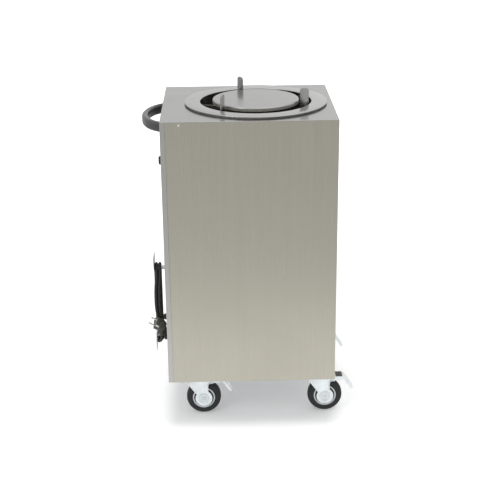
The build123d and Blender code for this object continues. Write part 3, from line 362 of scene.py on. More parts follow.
def cadCopy(node):
    # a CAD solid's mesh with its flats made whole again
    bm = bmesh.new()
    bm.from_mesh(nodes[node].data)
    bmesh.ops.remove_doubles(bm, verts=bm.verts, dist=merging["cad"])
    bmesh.ops.dissolve_limit(bm, angle_limit=radians(merging["flat"]), verts=bm.verts, edges=bm.edges)
    return bm


def applied(obj):
    # the evaluated shape becomes the object's plain mesh
    graph = bpy.context.evaluated_depsgraph_get()
    mesh = bpy.data.meshes.new_from_object(obj.evaluated_get(graph))
    obj.modifiers.clear()
    old = obj.data
    obj.data = mesh
    bpy.data.meshes.remove(old)


def bevelled(obj, edge, segments=2):
    bevel = obj.modifiers.new("edges", "BEVEL")
    bevel.width, bevel.segments, bevel.limit_method = edge, segments, "ANGLE"
    bevel.angle_limit = radians(sharpOn["cut"])
    applied(obj)
    smoothed(obj.data, sharpOn["cut"])
    return obj


def fitted(obj, slotName, body, *replaced, finish=None):
    # its finish, its body and the CAD nodes that it stands for
    dress(obj, slotName, finish)
    if replaced:
        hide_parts(*replaced)
    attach(obj, body)


def placed(x, y, z, degrees=0, axis="Z"):
    return Matrix.Translation((x, y, z)) @ Matrix.Rotation(radians(degrees), 4, axis)


def circle(steps):
    return [2 * pi * k / steps for k in range(steps)]


def lathe(bm, section, turn, steps, flute=None):
    # a closed section of (radius, height) points, turned about turn's Z axis
    rings = []
    for a in circle(steps):
        ring = []
        for r, h in section:
            if flute and r > nothing:
                r = r - flute(a, r, h)
            ring.append(bm.verts.new(turn @ Vector((r * cos(a), r * sin(a), h))))
        rings.append(ring)
    for k in range(steps):
        here, following = rings[k], rings[(k + 1) % steps]
        for i in range(len(section)):
            j = (i + 1) % len(section)
            if section[i][0] < nothing and section[j][0] < nothing:
                continue
            bm.faces.new([here[i], here[j], following[j], following[i]])


def turned(name, section, axis, steps, sharp=sharpOn["turned"], flute=None):
    bm = bmesh.new()
    lathe(bm, section, axis, steps, flute)
    return meshFrom(name, bm, sharp)


def sleeve(inner, outer, low, high):
    # the section of a plain tube, or of a bar where inner is 0
    return [(inner, low), (outer, low), (outer, high), (inner, high)]


def bothSides(half):
    # a section given for one side, from the outside inwards, and mirrored to the other
    return half + [(r, -h) for r, h in reversed(half) if h > nothing]


def quarter(centre, radius, start, steps=6):
    # points of a quarter circle in a section, from start degrees, clockwise
    angles = [radians(start - 90 * k / steps) for k in range(steps + 1)]
    return [(centre[0] + radius * cos(a), centre[1] + radius * sin(a)) for a in angles]


def prism(bm, outline, y0, y1, turn):
    # an outline in X and Z, thick along Y
    near = [bm.verts.new(turn @ Vector((x, y0, z))) for x, z in outline]
    far = [bm.verts.new(turn @ Vector((x, y1, z))) for x, z in outline]
    bm.faces.new(near)
    bm.faces.new(far[::-1])
    for i in range(len(outline)):
        j = (i + 1) % len(outline)
        bm.faces.new([near[i], far[i], far[j], near[j]])


def band(line, thick):
    # the outline of a strip with this middle line
    left, right = [], []
    for i, (x, z) in enumerate(line):
        (ax, az), (bx, bz) = line[max(i - 1, 0)], line[min(i + 1, len(line) - 1)]
        d = Vector((bx - ax, bz - az)).normalized()
        left.append((x - d.y * thick / 2, z + d.x * thick / 2))
        right.append((x + d.y * thick / 2, z - d.x * thick / 2))
    return left + right[::-1]


def wire(bm, points, radius, steps=6, closed=False):
    # a round wire through points
    rings, count = [], len(points)
    side = None
    for i in range(count):
        a = points[i - 1] if i or closed else points[0]
        b = points[(i + 1) % count] if i < count - 1 or closed else points[-1]
        along = (b - a).normalized()
        if side is None:
            side = along.orthogonal().normalized()
        side = (side - along * side.dot(along)).normalized()
        up = along.cross(side)
        spokes = [side * cos(t) + up * sin(t) for t in circle(steps)]
        rings.append([bm.verts.new(points[i] + spoke * radius) for spoke in spokes])
    for i in range(count if closed else count - 1):
        here, following = rings[i], rings[(i + 1) % count]
        for k in range(steps):
            m = (k + 1) % steps
            bm.faces.new([here[k], here[m], following[m], following[k]])
    if not closed:
        bm.faces.new(rings[0][::-1])
        bm.faces.new(rings[-1])


def repeater():
    # puts a template's copies on points, each turned by its point's attribute and spun by chance
    tree = bpy.data.node_groups.new("fasteners", "GeometryNodeTree")
    inputs = {}
    for label, kind in (("Geometry", "Geometry"), ("Template", "Object"), ("Finish", "Material"),
                        ("Spin", "Float"), ("Seed", "Int")):
        socket = tree.interface.new_socket(label, in_out="INPUT", socket_type="NodeSocket" + kind)
        inputs[label] = socket.identifier
    tree.interface.new_socket("Geometry", in_out="OUTPUT", socket_type="NodeSocketGeometry")
    new, link = tree.nodes.new, tree.links.new
    given, result = new("NodeGroupInput"), new("NodeGroupOutput")
    info, put = new("GeometryNodeObjectInfo"), new("GeometryNodeInstanceOnPoints")
    turn, euler = new("GeometryNodeInputNamedAttribute"), new("FunctionNodeEulerToRotation")
    turn.data_type = "FLOAT_VECTOR"
    turn.inputs["Name"].default_value = "turn"
    chance, join = new("FunctionNodeRandomValue"), new("ShaderNodeCombineXYZ")
    spin = new("GeometryNodeRotateInstances")
    real, paint = new("GeometryNodeRealizeInstances"), new("GeometryNodeSetMaterial")
    link(given.outputs["Geometry"], put.inputs["Points"])
    link(given.outputs["Template"], info.inputs["Object"])
    link(info.outputs["Geometry"], put.inputs["Instance"])
    link(turn.outputs["Attribute"], euler.inputs[0])
    link(euler.outputs[0], put.inputs["Rotation"])
    link(put.outputs["Instances"], spin.inputs["Instances"])
    link(given.outputs["Spin"], chance.inputs[3])
    link(given.outputs["Seed"], chance.inputs["Seed"])
    link(chance.outputs[1], join.inputs["Z"])
    link(join.outputs[0], spin.inputs["Rotation"])
    link(spin.outputs["Instances"], real.inputs["Geometry"])
    link(real.outputs["Geometry"], paint.inputs["Geometry"])
    link(given.outputs["Finish"], paint.inputs["Material"])
    link(paint.outputs["Geometry"], result.inputs["Geometry"])
    return tree, inputs


fastenerTree, fastenerInputs = repeater()
anySpin = 6.28     # radians, for heads that stop at any angle


def repeated(name, template, places, *replaced, spin=0.0, seed=5):
    # plated copies of the template, fixed to the cart
    mesh = bpy.data.meshes.new(name)
    mesh.from_pydata([place.translation for place in places], [], [])
    attribute = mesh.attributes.new("turn", "FLOAT_VECTOR", "POINT")
    for item, place in zip(attribute.data, places):
        item.vector = place.to_euler()
    obj = makeObject(name, mesh)
    rule = obj.modifiers.new("fasteners", "NODES")
    rule.node_group = fastenerTree
    inputs = {"Template": template, "Finish": finishes["zinc"], "Spin": spin, "Seed": seed}
    for label, value in inputs.items():
        rule[fastenerInputs[label]] = value
    applied(obj)
    bpy.data.objects.remove(template)
    smoothed(obj.data, sharpOn["fastener"])
    fitted(obj, "zinc", "cart", *replaced)


def domed(radius, height, rim=0.35, shoulder=0.96, steps=4):
    # half section of a pan head that sits on Z 0
    section = [(0, 0), (radius, 0), (radius, height * rim)]
    for k in range(1, steps):
        t = pi / 2 * k / steps
        section.append((radius * cos(t) * shoulder, height * (rim + (1 - rim) * sin(t))))
    return section + [(0, height)]


# the cross recess: reach and half are shares of the head's radius, foot of the reach, the rest of its height
crossShape = {"reach": 0.58, "foot": 0.45, "half": 0.13, "deep": 0.62, "above": 1.2}


def screwTemplate(radius, height, shank, shankRadius, overlap=0.0002, cross=crossShape):
    bm = bmesh.new()
    lathe(bm, domed(radius, height), placed(0, 0, 0), sides["head"])
    lathe(bm, sleeve(0, shankRadius, -shank, overlap), placed(0, 0, 0), sides["shank"])
    head = meshFrom("screwTemplate", bm)
    reach, half = radius * cross["reach"], radius * cross["half"]
    foot, floor, above = reach * cross["foot"], height * (1 - cross["deep"]), height * cross["above"]
    bm = bmesh.new()
    for degrees in (0, 90):
        slot = [(-reach, above), (-foot, floor), (foot, floor), (reach, above)]
        prism(bm, slot, -half, half, placed(0, 0, 0, degrees))
    recess = meshFrom("recess", bm)
    cut = head.modifiers.new("recess", "BOOLEAN")
    cut.operation, cut.object, cut.solver, cut.use_self = "DIFFERENCE", recess, "EXACT", True
    applied(head)
    bpy.data.objects.remove(recess)
    return head


# how a hexagon's corners are turned down, in shares of its height and half width, and a shank's chamfer
hexShape = {"corner": 0.8, "flat": 0.93, "top": 0.882, "chamfer": 0.0006}


def hexTemplate(across, height, bore=0.0, shank=None, s=hexShape):
    # a bolt's head with its shank (radius, low, high), or a nut with its bore; across reaches a corner
    bm = bmesh.new()
    flat = across * cos(radians(30))

    def sixth(k, radii, heights):
        angles = [radians(60 * k + step) for step in (-30, 0, 30)]
        return [bm.verts.new((r * cos(a), r * sin(a), h)) for a, r, h in zip(angles, radii, heights)]

    for k in range(6):
        foot = sixth(k, (flat, across, flat), (0, 0, 0))
        side = sixth(k, (flat, across, flat), [height * s[key] for key in ("flat", "corner", "flat")])
        top = sixth(k, [across * s["top"]] * 3, [height] * 3)
        for i in range(2):
            bm.faces.new([foot[i], foot[i + 1], side[i + 1], side[i]])
            bm.faces.new([side[i], side[i + 1], top[i + 1], top[i]])
        low, high = (sixth(k, [bore] * 3, [h] * 3) for h in (0, height))
        for i in range(2):
            for ring, hub in ((foot, low), (top, high)):
                face = [ring[i], ring[i + 1], hub[i + 1], hub[i]]
                bm.faces.new(face if bore else face[:3])
            if bore:
                bm.faces.new([low[i], high[i], high[i + 1], low[i + 1]])
    if shank:
        radius, low, high = shank
        end = s["chamfer"]
        lathe(bm, [(0, low), (radius - end, low), (radius, low + end), (radius, high - end),
                   (radius - end, high), (0, high)], placed(0, 0, 0), sides["bolt"])
    return meshFrom("hexTemplate", bm)


# the winder's turns stand in three columns, each further out than the last
cordStyle = {
    "radius": 0.0047, "winderY": -0.075, "low": 0.223, "high": 0.443, "turnRadius": 0.011,
    "columns": (-0.2566, -0.2669, -0.2772), "straight": 0.03, "lean": 0.0044, "spread": 0.005,
    "leaning": (0.08, 0.155), "glandNose": (-0.265, -0.025, 0.261), "joinY": -0.049,
    "loop": [(-0.284, -0.024, 0.26), (-0.293, -0.023, 0.24), (-0.285, -0.023, 0.219), (-0.266, -0.032, 0.21)],
    "tail": 0.025, "hang": 0.012, "plugEntry": (-0.26671, -0.113, 0.23676), "length": 1.205,
}


def windingPoints(s):
    # up the near side and down the far side; rho and half put each turn's points on an octagon
    y, turn, low, high = s["winderY"], s["turnRadius"], s["low"], s["high"]
    rho, half = turn / cos(pi / 8), turn * tan(pi / 8)
    near, far = y - turn, y + turn

    def corners(x, z, angles):
        return [(x, y + rho * cos(radians(a)), z + rho * sin(radians(a))) for a in angles]

    points = [(s["columns"][0], y + half, low - turn)]
    for here, following in zip(s["columns"], s["columns"][1:]):
        points += corners(here, low, (247.5, 202.5))
        points += [(here, near, low + half), (here, near, low + s["straight"])]
        points += [(following - s["lean"], near - s["spread"], low + rise) for rise in s["leaning"]]
        points += [(following, near, high - s["straight"]), (following, near, high - half)]
        points += corners(following, high, (157.5, 112.5, 67.5, 22.5))
        points += [(following, far, z) for z in (high - half, (low + high) / 2, low + half)]
        points += corners(following, low, (-22.5, -67.5))
    return points + [(s["columns"][-1], y - half, low - turn)]


def makeCord(s):
    low, y, thick = s["low"] - s["turnRadius"], s["winderY"], 2 * s["radius"]
    inner, outer = s["columns"][0], s["columns"][-1]
    points = [s["glandNose"], *s["loop"], (inner, s["joinY"], low), (inner, y + thick, low)]
    points += windingPoints(s)
    points += [(outer, y - thick, low), (outer, y - s["tail"], low)]
    points += [(*s["plugEntry"][:2], low + s["hang"]), s["plugEntry"]]
    curve = bpy.data.curves.new("mainsCord", "CURVE")
    curve.dimensions = "3D"
    spline = curve.splines.new("NURBS")
    spline.points.add(len(points) - 1)
    for point, place in zip(spline.points, points):
        point.co = (*place, 1)
    spline.order_u = 3
    spline.use_endpoint_u = True
    curve.resolution_u, curve.bevel_resolution = 8, 5
    curve.bevel_depth = s["radius"]
    curve.use_fill_caps = True
    return makeObject("mainsCord", curve)


cord = makeCord(cordStyle)
fitted(cord, "cord_rubber", "cart", "cord_runs", "cord_winding")
print("cord made:", len(cord.data.splines[0].points), "points")


def softened(name, node, slotName, body, edge):
    # a CAD solid with its edges broken
    fitted(bevelled(meshFrom(name, cadCopy(node)), edge), slotName, body, node)


for letter in "abc":
    softened("guideBar" + letter.upper(), "guide_fin_" + letter, "guide_steel", "guide_" + letter, 0.0005)
softened("winderPlate", "winder_plate", "winder_steel", "cart", 0.0003)
softened("switchFrame", "switch_housing", "black_plastic", "cart", 0.0004)
softened("switchRocker", "switch_rocker", "black_plastic", "rocker", 0.0005)
softened("springHangers", "spring_hangers", "galvanised", "cart", 0.0004)
softened("tubeStays", "tube_stays", "galvanised", "cart", 0.0004)
softened("thermostat", "thermostat_body", "grey_plastic", "cart", 0.0008)
softened("terminals", "terminal_block", "grey_plastic", "cart", 0.0005)
softened("buffers", "stop_buffers", "black_rubber", "cart", 0.001)
print("hard pieces softened")


tubeX = 0.024     # the well's axis
collarShape = {
    "outer": 0.206, "bore": 0.1608, "top": 0.927, "deck": 0.921, "skirt": 0.911, "lip": 0.005,
    "sheet": 0.0015, "round": 0.0018, "brim": 0.0008, "seal": 0.0016, "gap": 0.0001, "steps": 180,
}
liftShape = {
    "radius": 0.1248, "top": 0.933, "rim": 0.011, "sheet": 0.0015, "round": 0.0032, "dish": 0.0003,
    "bend": (0.5, 0.8), "steps": 128,
}


def makeCollar(s):
    t, r, brim, top, bore = s["sheet"], s["round"], s["brim"], s["top"], s["bore"]
    foot, under = s["outer"] - s["lip"], top - t
    section = [(bore, s["skirt"])]
    section += quarter((bore + r, top - r), r, 180)
    section += quarter((s["outer"] - brim, top - brim), brim, 90, 3)
    section += [(s["outer"], under), (foot, under), (foot, s["deck"]), (foot - t, s["deck"])]
    section += [(foot - t, under), (bore + r, under), (bore + t, top - r), (bore + t, s["skirt"])]
    axis = placed(tubeX, 0, 0)
    fitted(turned("collarRing", section, axis, s["steps"]), "collar_steel", "cart", "collar_ring")
    # a dark band under the ring's lip is painted shade, standing for the gap under the lip that lies in
    # shadow
    seal = sleeve(foot + s["gap"], foot + s["seal"], s["deck"], under - s["gap"])
    fitted(turned("collarSeal", seal, axis, s["steps"]), "black_rubber", "cart", finish="seal_rubber")


def makeLiftPlate(s):
    t, r, radius, top, dish = s["sheet"], s["round"], s["radius"], s["top"], s["dish"]
    reach, left = s["bend"]     # shares of the radius and of the dish
    section = [(0, top - dish), (radius * reach, top - dish * left), (radius - 3 * r, top)]
    section += quarter((radius - r, top - r), r, 90)
    section += [(radius - t, top - r), (radius - r, top - t), (0, top - t - dish)]
    axis = placed(tubeX, 0, 0)
    fitted(turned("liftDisc", section, axis, s["steps"]), "lift_steel", "lift", "lift_plate")
    # its rim is sanded duller than the top
    rim = turned("liftRim", sleeve(radius - t, radius, top - s["rim"], top - r), axis, s["steps"])
    fitted(rim, "lift_steel", "lift", "lift_plate", finish="rim_steel")


makeCollar(collarShape)
makeLiftPlate(liftShape)
print("collar and lift plate turned")


springShape = {
    "angles": (46.8, 166.8, 286.8), "reach": 0.18, "offset": 0.013, "topEye": 0.89775,
    "lowEye": 0.70625, "eye": 0.005, "eyeSteps": 20, "hook": 0.0004, "coil": 0.0058, "wire": 0.0011,
    "turns": 57, "steps": 11, "taper": 8,
}


def makeSprings(s):
    # pairs of coils with an eye at each end, stretched between the cart and the lift
    bm = bmesh.new()
    low, high = s["lowEye"] + s["eye"], s["topEye"] - s["eye"]
    count = s["turns"] * s["steps"]
    for angle in s["angles"]:
        for side in (-1, 1):
            turn = placed(tubeX, 0, 0, angle) @ placed(s["reach"], side * s["offset"], 0)
            for centre in (s["topEye"], s["lowEye"]):
                eye = [(s["eye"] * cos(t), 0, centre + s["eye"] * sin(t)) for t in circle(s["eyeSteps"])]
                wire(bm, [turn @ Vector(point) for point in eye], s["wire"], closed=True)
            coil = [(0, 0, low - s["hook"])]
            for k in range(count + 1):
                t = 2 * pi * k / s["steps"]
                r = s["coil"] * min(1, k / s["taper"], (count - k) / s["taper"])
                coil.append((r * cos(t), r * sin(t), low + (high - low) * k / count))
            coil.append((0, 0, high + s["hook"]))
            wire(bm, [turn @ Vector(point) for point in coil], s["wire"])
    springs = meshFrom("coilSprings", bm, sharpOn["turned"])
    dress(springs, "spring_steel")
    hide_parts("lift_springs")
    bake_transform(springs)


makeSprings(springShape)
print("springs wound")


# the swivels' places; the shapes below are measured from them
castors = {
    "front_left": (-0.183, -0.149), "rear_left": (-0.183, 0.149),
    "front_right": (0.183, -0.149), "rear_right": (0.183, 0.149),
}
wheelShape = {
    "trail": 0.039, "height": 0.052, "steps": 96, "sharp": 38,
    "tyre": [(0.0335, 0.0148), (0.0405, 0.0148), (0.0428, 0.015), (0.0474, 0.0143), (0.0497, 0.0122),
             (0.0511, 0.009), (0.0519, 0.0045), (0.052, 0.0)],
    "ring": [(0.029, 0.0125), (0.0292, 0.015), (0.0297, 0.0159), (0.0303, 0.0162), (0.0324, 0.0162),
             (0.0331, 0.0157), (0.0335, 0.0146)],
    # the core's black is partly the hub's own colour and partly painted shade of the groove recessed behind
    # the fork's cheek
    "core": [(0.00606, 0.0182), (0.014, 0.0182), (0.0142, 0.016), (0.024, 0.016), (0.0245, 0.0155),
             (0.0247, 0.0125), (0.029, 0.0125)],
}
forkShape = {
    "cheek": 0.019, "sheet": 0.0025, "inside": 0.0205, "drawnIn": 0.003, "crownTop": 0.1181,
    "race": 0.0232, "edge": 0.0006, "lipOut": 0.0028, "lipThick": 0.0022, "lipEdge": 0.0007,
    "arc": (0.0608, 0.0945, 0.009), "ear": (0.0683, 0.1035), "eyeTop": 0.0715,
}
# its cap runs from the dimple over the crown to the washer's edge, measured from the bar's end
axleShape = {
    "bar": 0.006, "end": 0.0216, "steps": 32,
    "cap": [(0, 0.00088), (0.0026, 0.00099), (0.0038, 0.00187), (0.0046, 0.0022), (0.0054, 0.0022),
            (0.0062, 0.00132), (0.0062, 0.0011), (0.011, 0.0013), (0.0155, 0.001), (0.016, 0.0005),
            (0.016, 0)],
}
# the middle line of the blade, the underside of its cheeks, hub and pin as (radius, half length, chamfer,
# steps), and the ridge that is one rib of the tread
pedalShape = {
    "pivot": (0.06, 0.109), "half": 0.015, "sheet": 0.002, "edge": 0.0006,
    "line": [(0.06, 0.113), (0.09, 0.113), (0.0935, 0.1135), (0.096, 0.1138), (0.0975, 0.1122),
             (0.103, 0.1042), (0.115, 0.0862), (0.1222, 0.0757), (0.124, 0.0736)],
    "under": [(0.061, 0.113), (0.056, 0.109), (0.0575, 0.106), (0.062, 0.1045), (0.07, 0.1005),
              (0.088, 0.1005), (0.0925, 0.104), (0.0985, 0.1), (0.1095, 0.0836), (0.1165, 0.0732),
              (0.1202, 0.0712)],
    "neck": (0.0935, 0.1134),
    "shoe": (0.058, 0.074), "shoeTop": 0.1125, "shoeHalf": 0.011, "shoeSteps": 6, "clear": 0.0568,
    "bars": [(0.0052, 0.0187, 0.0005, 24), (0.003, 0.0216, 0.0004, 20)],
    "tread": (0.0715, 0.0915), "treadFoot": 0.1136, "treadEnd": 0.115, "treadHalf": 0.0148,
    "treadEdge": 0.0003, "ribs": 6, "pitch": 0.0033,
    "ridge": [(0, 0.117), (0.002, 0.117), (0.0022, 0.1158), (0.0031, 0.1158)],
}


def capitals(name):
    return "".join(word.title() for word in name.split("_"))


def makeWheel(s, name, x, y):
    axis = placed(x + s["trail"], y, s["height"], 90, "X")
    # the core's black plastic is partly painted shade of the groove behind the fork's cheek
    for part, slotName, node in (("tyre", "tyre_rubber", "tyre_"), ("ring", "rim_plastic", "rim_"),
                                 ("core", "black_plastic", "rim_")):
        piece = turned(part + capitals(name), bothSides(s[part]), axis, s["steps"], s["sharp"])
        fitted(piece, slotName, "wheel_" + name, node + name)


def makeFork(s, name, x, y):
    # the CAD fork with its cheeks drawn in towards the wheel, as they are seen
    bm = cadCopy("fork_" + name)
    for v in bm.verts:
        across = v.co.y - y
        outsideRace = (v.co.x - x) ** 2 + across ** 2 > s["race"] ** 2
        if abs(across) > s["inside"] and v.co.z < s["crownTop"] and outsideRace:
            v.co.y -= s["drawnIn"] * (1 if across > 0 else -1)
    fork = bevelled(meshFrom("fork" + capitals(name), bm), s["edge"])
    fitted(fork, "zinc", "fork_" + name, "fork_" + name)


def makeForkLips(s, name, x, y):
    # the cheeks' edges, turned outwards along the upright and over the tyre
    cx, cz, r = s["arc"]
    line = [(cx - r, s["eyeTop"]), (cx - r, cz)]
    line += [(cx - r * cos(radians(a)), cz + r * sin(radians(a))) for a in (18, 36, 54, 72, 90)]
    line.append(s["ear"])
    bm = bmesh.new()
    for side in (-1, 1):
        outside = s["cheek"] + s["sheet"] + s["lipOut"]
        prism(bm, band(line, s["lipThick"]), side * s["cheek"], side * outside, placed(x, y, 0))
    lips = bevelled(meshFrom("forkLips" + capitals(name), bm), s["lipEdge"], 3)
    fitted(lips, "zinc", "fork_" + name)


def makeAxle(s, wheel, name, x, y):
    # an axle with its ends rolled over wide crowned washers
    half = [(r, s["end"] + h) for r, h in s["cap"]] + [(s["bar"], s["end"])]
    axis = placed(x + wheel["trail"], y, wheel["height"], 90, "X")
    axle = turned("axle" + capitals(name), bothSides(half), axis, s["steps"])
    fitted(axle, "zinc", "fork_" + name, "axle_" + name, finish="axle_zinc")


def makePedal(s, wheel, name, x, y):
    place = placed(x, y, 0)
    bm = bmesh.new()
    prism(bm, band(s["line"], s["sheet"]), -s["half"], s["half"], place)
    start, end = s["shoe"]
    shoe = [(start, s["shoeTop"])]
    for k in range(s["shoeSteps"] + 1):
        px = start + (end - start) * k / s["shoeSteps"]
        shoe.append((px, wheel["height"] + (s["clear"] ** 2 - (px - wheel["trail"]) ** 2) ** 0.5))
    shoe.append((end, s["shoeTop"]))
    prism(bm, shoe, -s["shoeHalf"], s["shoeHalf"], place)
    cheek = s["under"] + s["line"][:2:-1] + [s["neck"]]
    for side in (-1, 1):
        prism(bm, cheek, side * s["half"], side * (s["half"] - s["sheet"]), place)
    blade = bevelled(meshFrom("pedal" + capitals(name), bm), s["edge"])
    fitted(blade, "zinc", "pedal_" + name, "brake_pedal_" + name)

    bm = bmesh.new()
    axis = placed(x + s["pivot"][0], y, s["pivot"][1], 90, "X")
    for radius, half, chamfer, steps in s["bars"]:
        lathe(bm, bothSides([(0, half), (radius - chamfer, half), (radius, half - chamfer)]), axis, steps)
    fitted(meshFrom("pedalPin" + capitals(name), bm, sharpOn["turned"]), "zinc", "pedal_" + name)

    start, end = s["tread"]
    ribs = [(start + k * s["pitch"] + dx, z) for k in range(s["ribs"]) for dx, z in s["ridge"]]
    comb = [(start, s["treadFoot"])] + ribs[:-2] + [(end, s["treadEnd"]), (end, s["treadFoot"])]
    bm = bmesh.new()
    prism(bm, comb, -s["treadHalf"], s["treadHalf"], place)
    tread = bevelled(meshFrom("pedalTread" + capitals(name), bm), s["treadEdge"], 1)
    fitted(tread, "black_rubber", "pedal_" + name, finish="tread_rubber")


for name, (x, y) in castors.items():
    makeWheel(wheelShape, name, x, y)
    makeFork(forkShape, name, x, y)
    makeAxle(axleShape, wheelShape, name, x, y)
    makeForkLips(forkShape, name, x, y)
    makePedal(pedalShape, wheelShape, name, x, y)
print("castors made")


boltShape = {
    "holes": (0.08, 0.06), "across": 0.007, "head": 0.0053, "shank": 0.004, "headTop": 0.133,
    "padTop": 0.1405, "end": 0.15, "nut": 0.0065, "slack": 0.00005, "overlap": 0.0003,
}
# the flange's screws are at (reach, first angle, height); heads are (radius, height, shank, shank radius),
# and a rivet's is (radius, height, share of its rim)
screwShape = {
    "flange": (0.1811, 76.8, 0.9222), "outside": -0.2843, "inside": -0.2438, "handle": (0.112, 0.881),
    "rivet": (-0.193, 0.225, 0.911), "panelHead": (0.0038, 0.0022, 0.0065, 0.002),
    "handleHead": (0.006, 0.0035, 0.012, 0.003), "rivetHead": (0.0026, 0.0011, 0.2),
}


def makeBolts(s):
    spots = [(x + dx * s["holes"][0] / 2, y + dy * s["holes"][1] / 2)
             for x, y in castors.values() for dx in (-1, 1) for dy in (-1, 1)]
    bolt = hexTemplate(s["across"], s["head"], shank=(s["shank"], s["headTop"] - s["end"], s["overlap"]))
    repeated("castorBolts", bolt, [placed(x, y, s["headTop"], 180, "X") for x, y in spots],
             "castor_bolts", spin=anySpin, seed=3)
    nut = hexTemplate(s["across"], s["nut"], bore=s["shank"] + s["slack"])
    repeated("castorNuts", nut, [placed(x, y, s["padTop"]) for x, y in spots],
             "castor_bolts", spin=anySpin, seed=8)


def makeScrews(s, winder):
    reach, start, z = s["flange"]
    angles = [radians(start + 60 * k) for k in range(6)]
    spots = [placed(tubeX + reach * cos(a), reach * sin(a), z) for a in angles]
    for z in (winder["low"], winder["high"]):
        spots.append(placed(s["outside"], winder["winderY"], z, -90, "Y"))
        spots.append(placed(s["inside"], winder["winderY"], z, 90, "Y"))
    repeated("panelScrews", screwTemplate(*s["panelHead"]), spots, "panel_screws", spin=anySpin, seed=4)
    half, z = s["handle"]
    spots = [placed(s["inside"], y, z, 90, "Y") for y in (-half, half)]
    repeated("handleScrews", screwTemplate(*s["handleHead"]), spots, "handle_screws", spin=anySpin, seed=9)
    x, y, z = s["rivet"]
    bm = bmesh.new()
    lathe(bm, domed(*s["rivetHead"]), placed(0, 0, 0), sides["rivet"])
    spots = [placed(x, side * y, z, -90 * side, "X") for side in (-1, 1)]
    repeated("rivets", meshFrom("rivetTemplate", bm), spots)


makeBolts(boltShape)
makeScrews(screwShape, cordStyle)
print("fasteners placed")


def fading(h, low, rise, high, fall):
    # 1 between low and high, falling to 0 at both
    return max(0.0, min(1.0, (h - low) / rise)) * max(0.0, min(1.0, (high - h) / fall))


# flutes and ribs fade at their ends (low, rise, high, fall)
knobShape = {
    "x": -0.2473, "z": 0.751, "grip": 0.013, "flutes": 16, "fluteSteps": 12, "fluteDeep": 0.0011,
    "fluteRound": 0.7, "fluteEnds": (0.0072, 0.0025, 0.0166, 0.002), "sharp": 50,
    "spindle": (0.003, -0.0135, 0.001),
    "section": [(0, 0.0004), (0.0195, 0.0004), (0.0224, 0), (0.023, 0.0006), (0.023, 0.003),
                (0.022, 0.0046), (0.02, 0.0055), (0.0152, 0.0061), (0.0138, 0.0068), (0.0132, 0.0082),
                (0.0128, 0.012), (0.0126, 0.0138), (0.012, 0.015), (0.0106, 0.0158), (0.009, 0.016),
                (0, 0.0157)],
    "mark": (0.0007, 0.0013, 0.008), "markOut": 0.0161, "markUp": 0.006, "markEdge": 0.0002,
}
glandShape = {
    "x": -0.245, "y": -0.025, "z": 0.261, "ribs": 12, "ribSteps": 10, "ribDeep": 0.0006, "ribFrom": 0.006,
    "ribEnds": (0.005, 0.002, 0.0185, 0.002), "thread": (0.00475, 0.009, -0.0062, 0.0035),
    "section": [(0.00475, 0.003), (0.01, 0.003), (0.0103, 0.005), (0.0102, 0.009),
                (0.0096, 0.013), (0.0086, 0.0165), (0.0074, 0.019), (0.0064, 0.0199),
                (0.0056, 0.02), (0.00475, 0.0196)],
    "nut": (0.012, 0.004), "lock": (0.013, 0.005), "nutBore": 0.0089, "panel": 0.0012,
    "nutEdge": 0.0003,
}


def makeKnob(s):
    def flute(a, r, h):
        deep = s["fluteDeep"] * fading(h, *s["fluteEnds"])
        return deep * max(0.0, cos(a * s["flutes"])) ** s["fluteRound"] * (r / s["grip"])

    axis = placed(s["x"], 0, s["z"], -90, "Y")
    steps = s["flutes"] * s["fluteSteps"]
    knob = turned("thermostatKnob", s["section"], axis, steps, s["sharp"], flute)
    fitted(knob, "black_plastic", "knob", "thermostat_knob")
    fitted(turned("knobSpindle", sleeve(0, *s["spindle"]), axis, sides["head"]), "zinc", "knob")
    bm = bmesh.new()
    bmesh.ops.create_cube(bm, size=1)
    mark = placed(s["x"] - s["markOut"], 0, s["z"] + s["markUp"]) @ Matrix.Diagonal((*s["mark"], 1))
    bmesh.ops.transform(bm, matrix=mark, verts=bm.verts)
    fitted(bevelled(meshFrom("knobMark", bm), s["markEdge"], 1), "grey_plastic", "knob")


def makeGland(s):
    def rib(a, r, h):
        deep = s["ribDeep"] * fading(h, *s["ribEnds"])
        return deep * max(0.0, cos(a * s["ribs"])) if r > s["ribFrom"] else 0

    axis = placed(s["x"], s["y"], s["z"], -90, "Y")
    bm = bmesh.new()
    lathe(bm, s["section"], axis, s["ribs"] * s["ribSteps"], rib)
    lathe(bm, sleeve(*s["thread"]), axis, sides["thread"])
    fitted(meshFrom("glandSleeve", bm, sharpOn["turned"]), "black_plastic", "cart", "cable_gland")
    inside = placed(s["x"] + s["panel"], s["y"], s["z"], -90, "Y") @ placed(0, 0, 0, 180, "X")
    for name, size, turn in (("glandNut", s["nut"], axis), ("glandLock", s["lock"], inside)):
        piece = hexTemplate(*size, bore=s["nutBore"])
        piece.name = name
        piece.data.transform(turn)
        fitted(bevelled(piece, s["nutEdge"], 1), "black_plastic", "cart")


makeKnob(knobShape)
makeGland(glandShape)
print("knob and gland made")


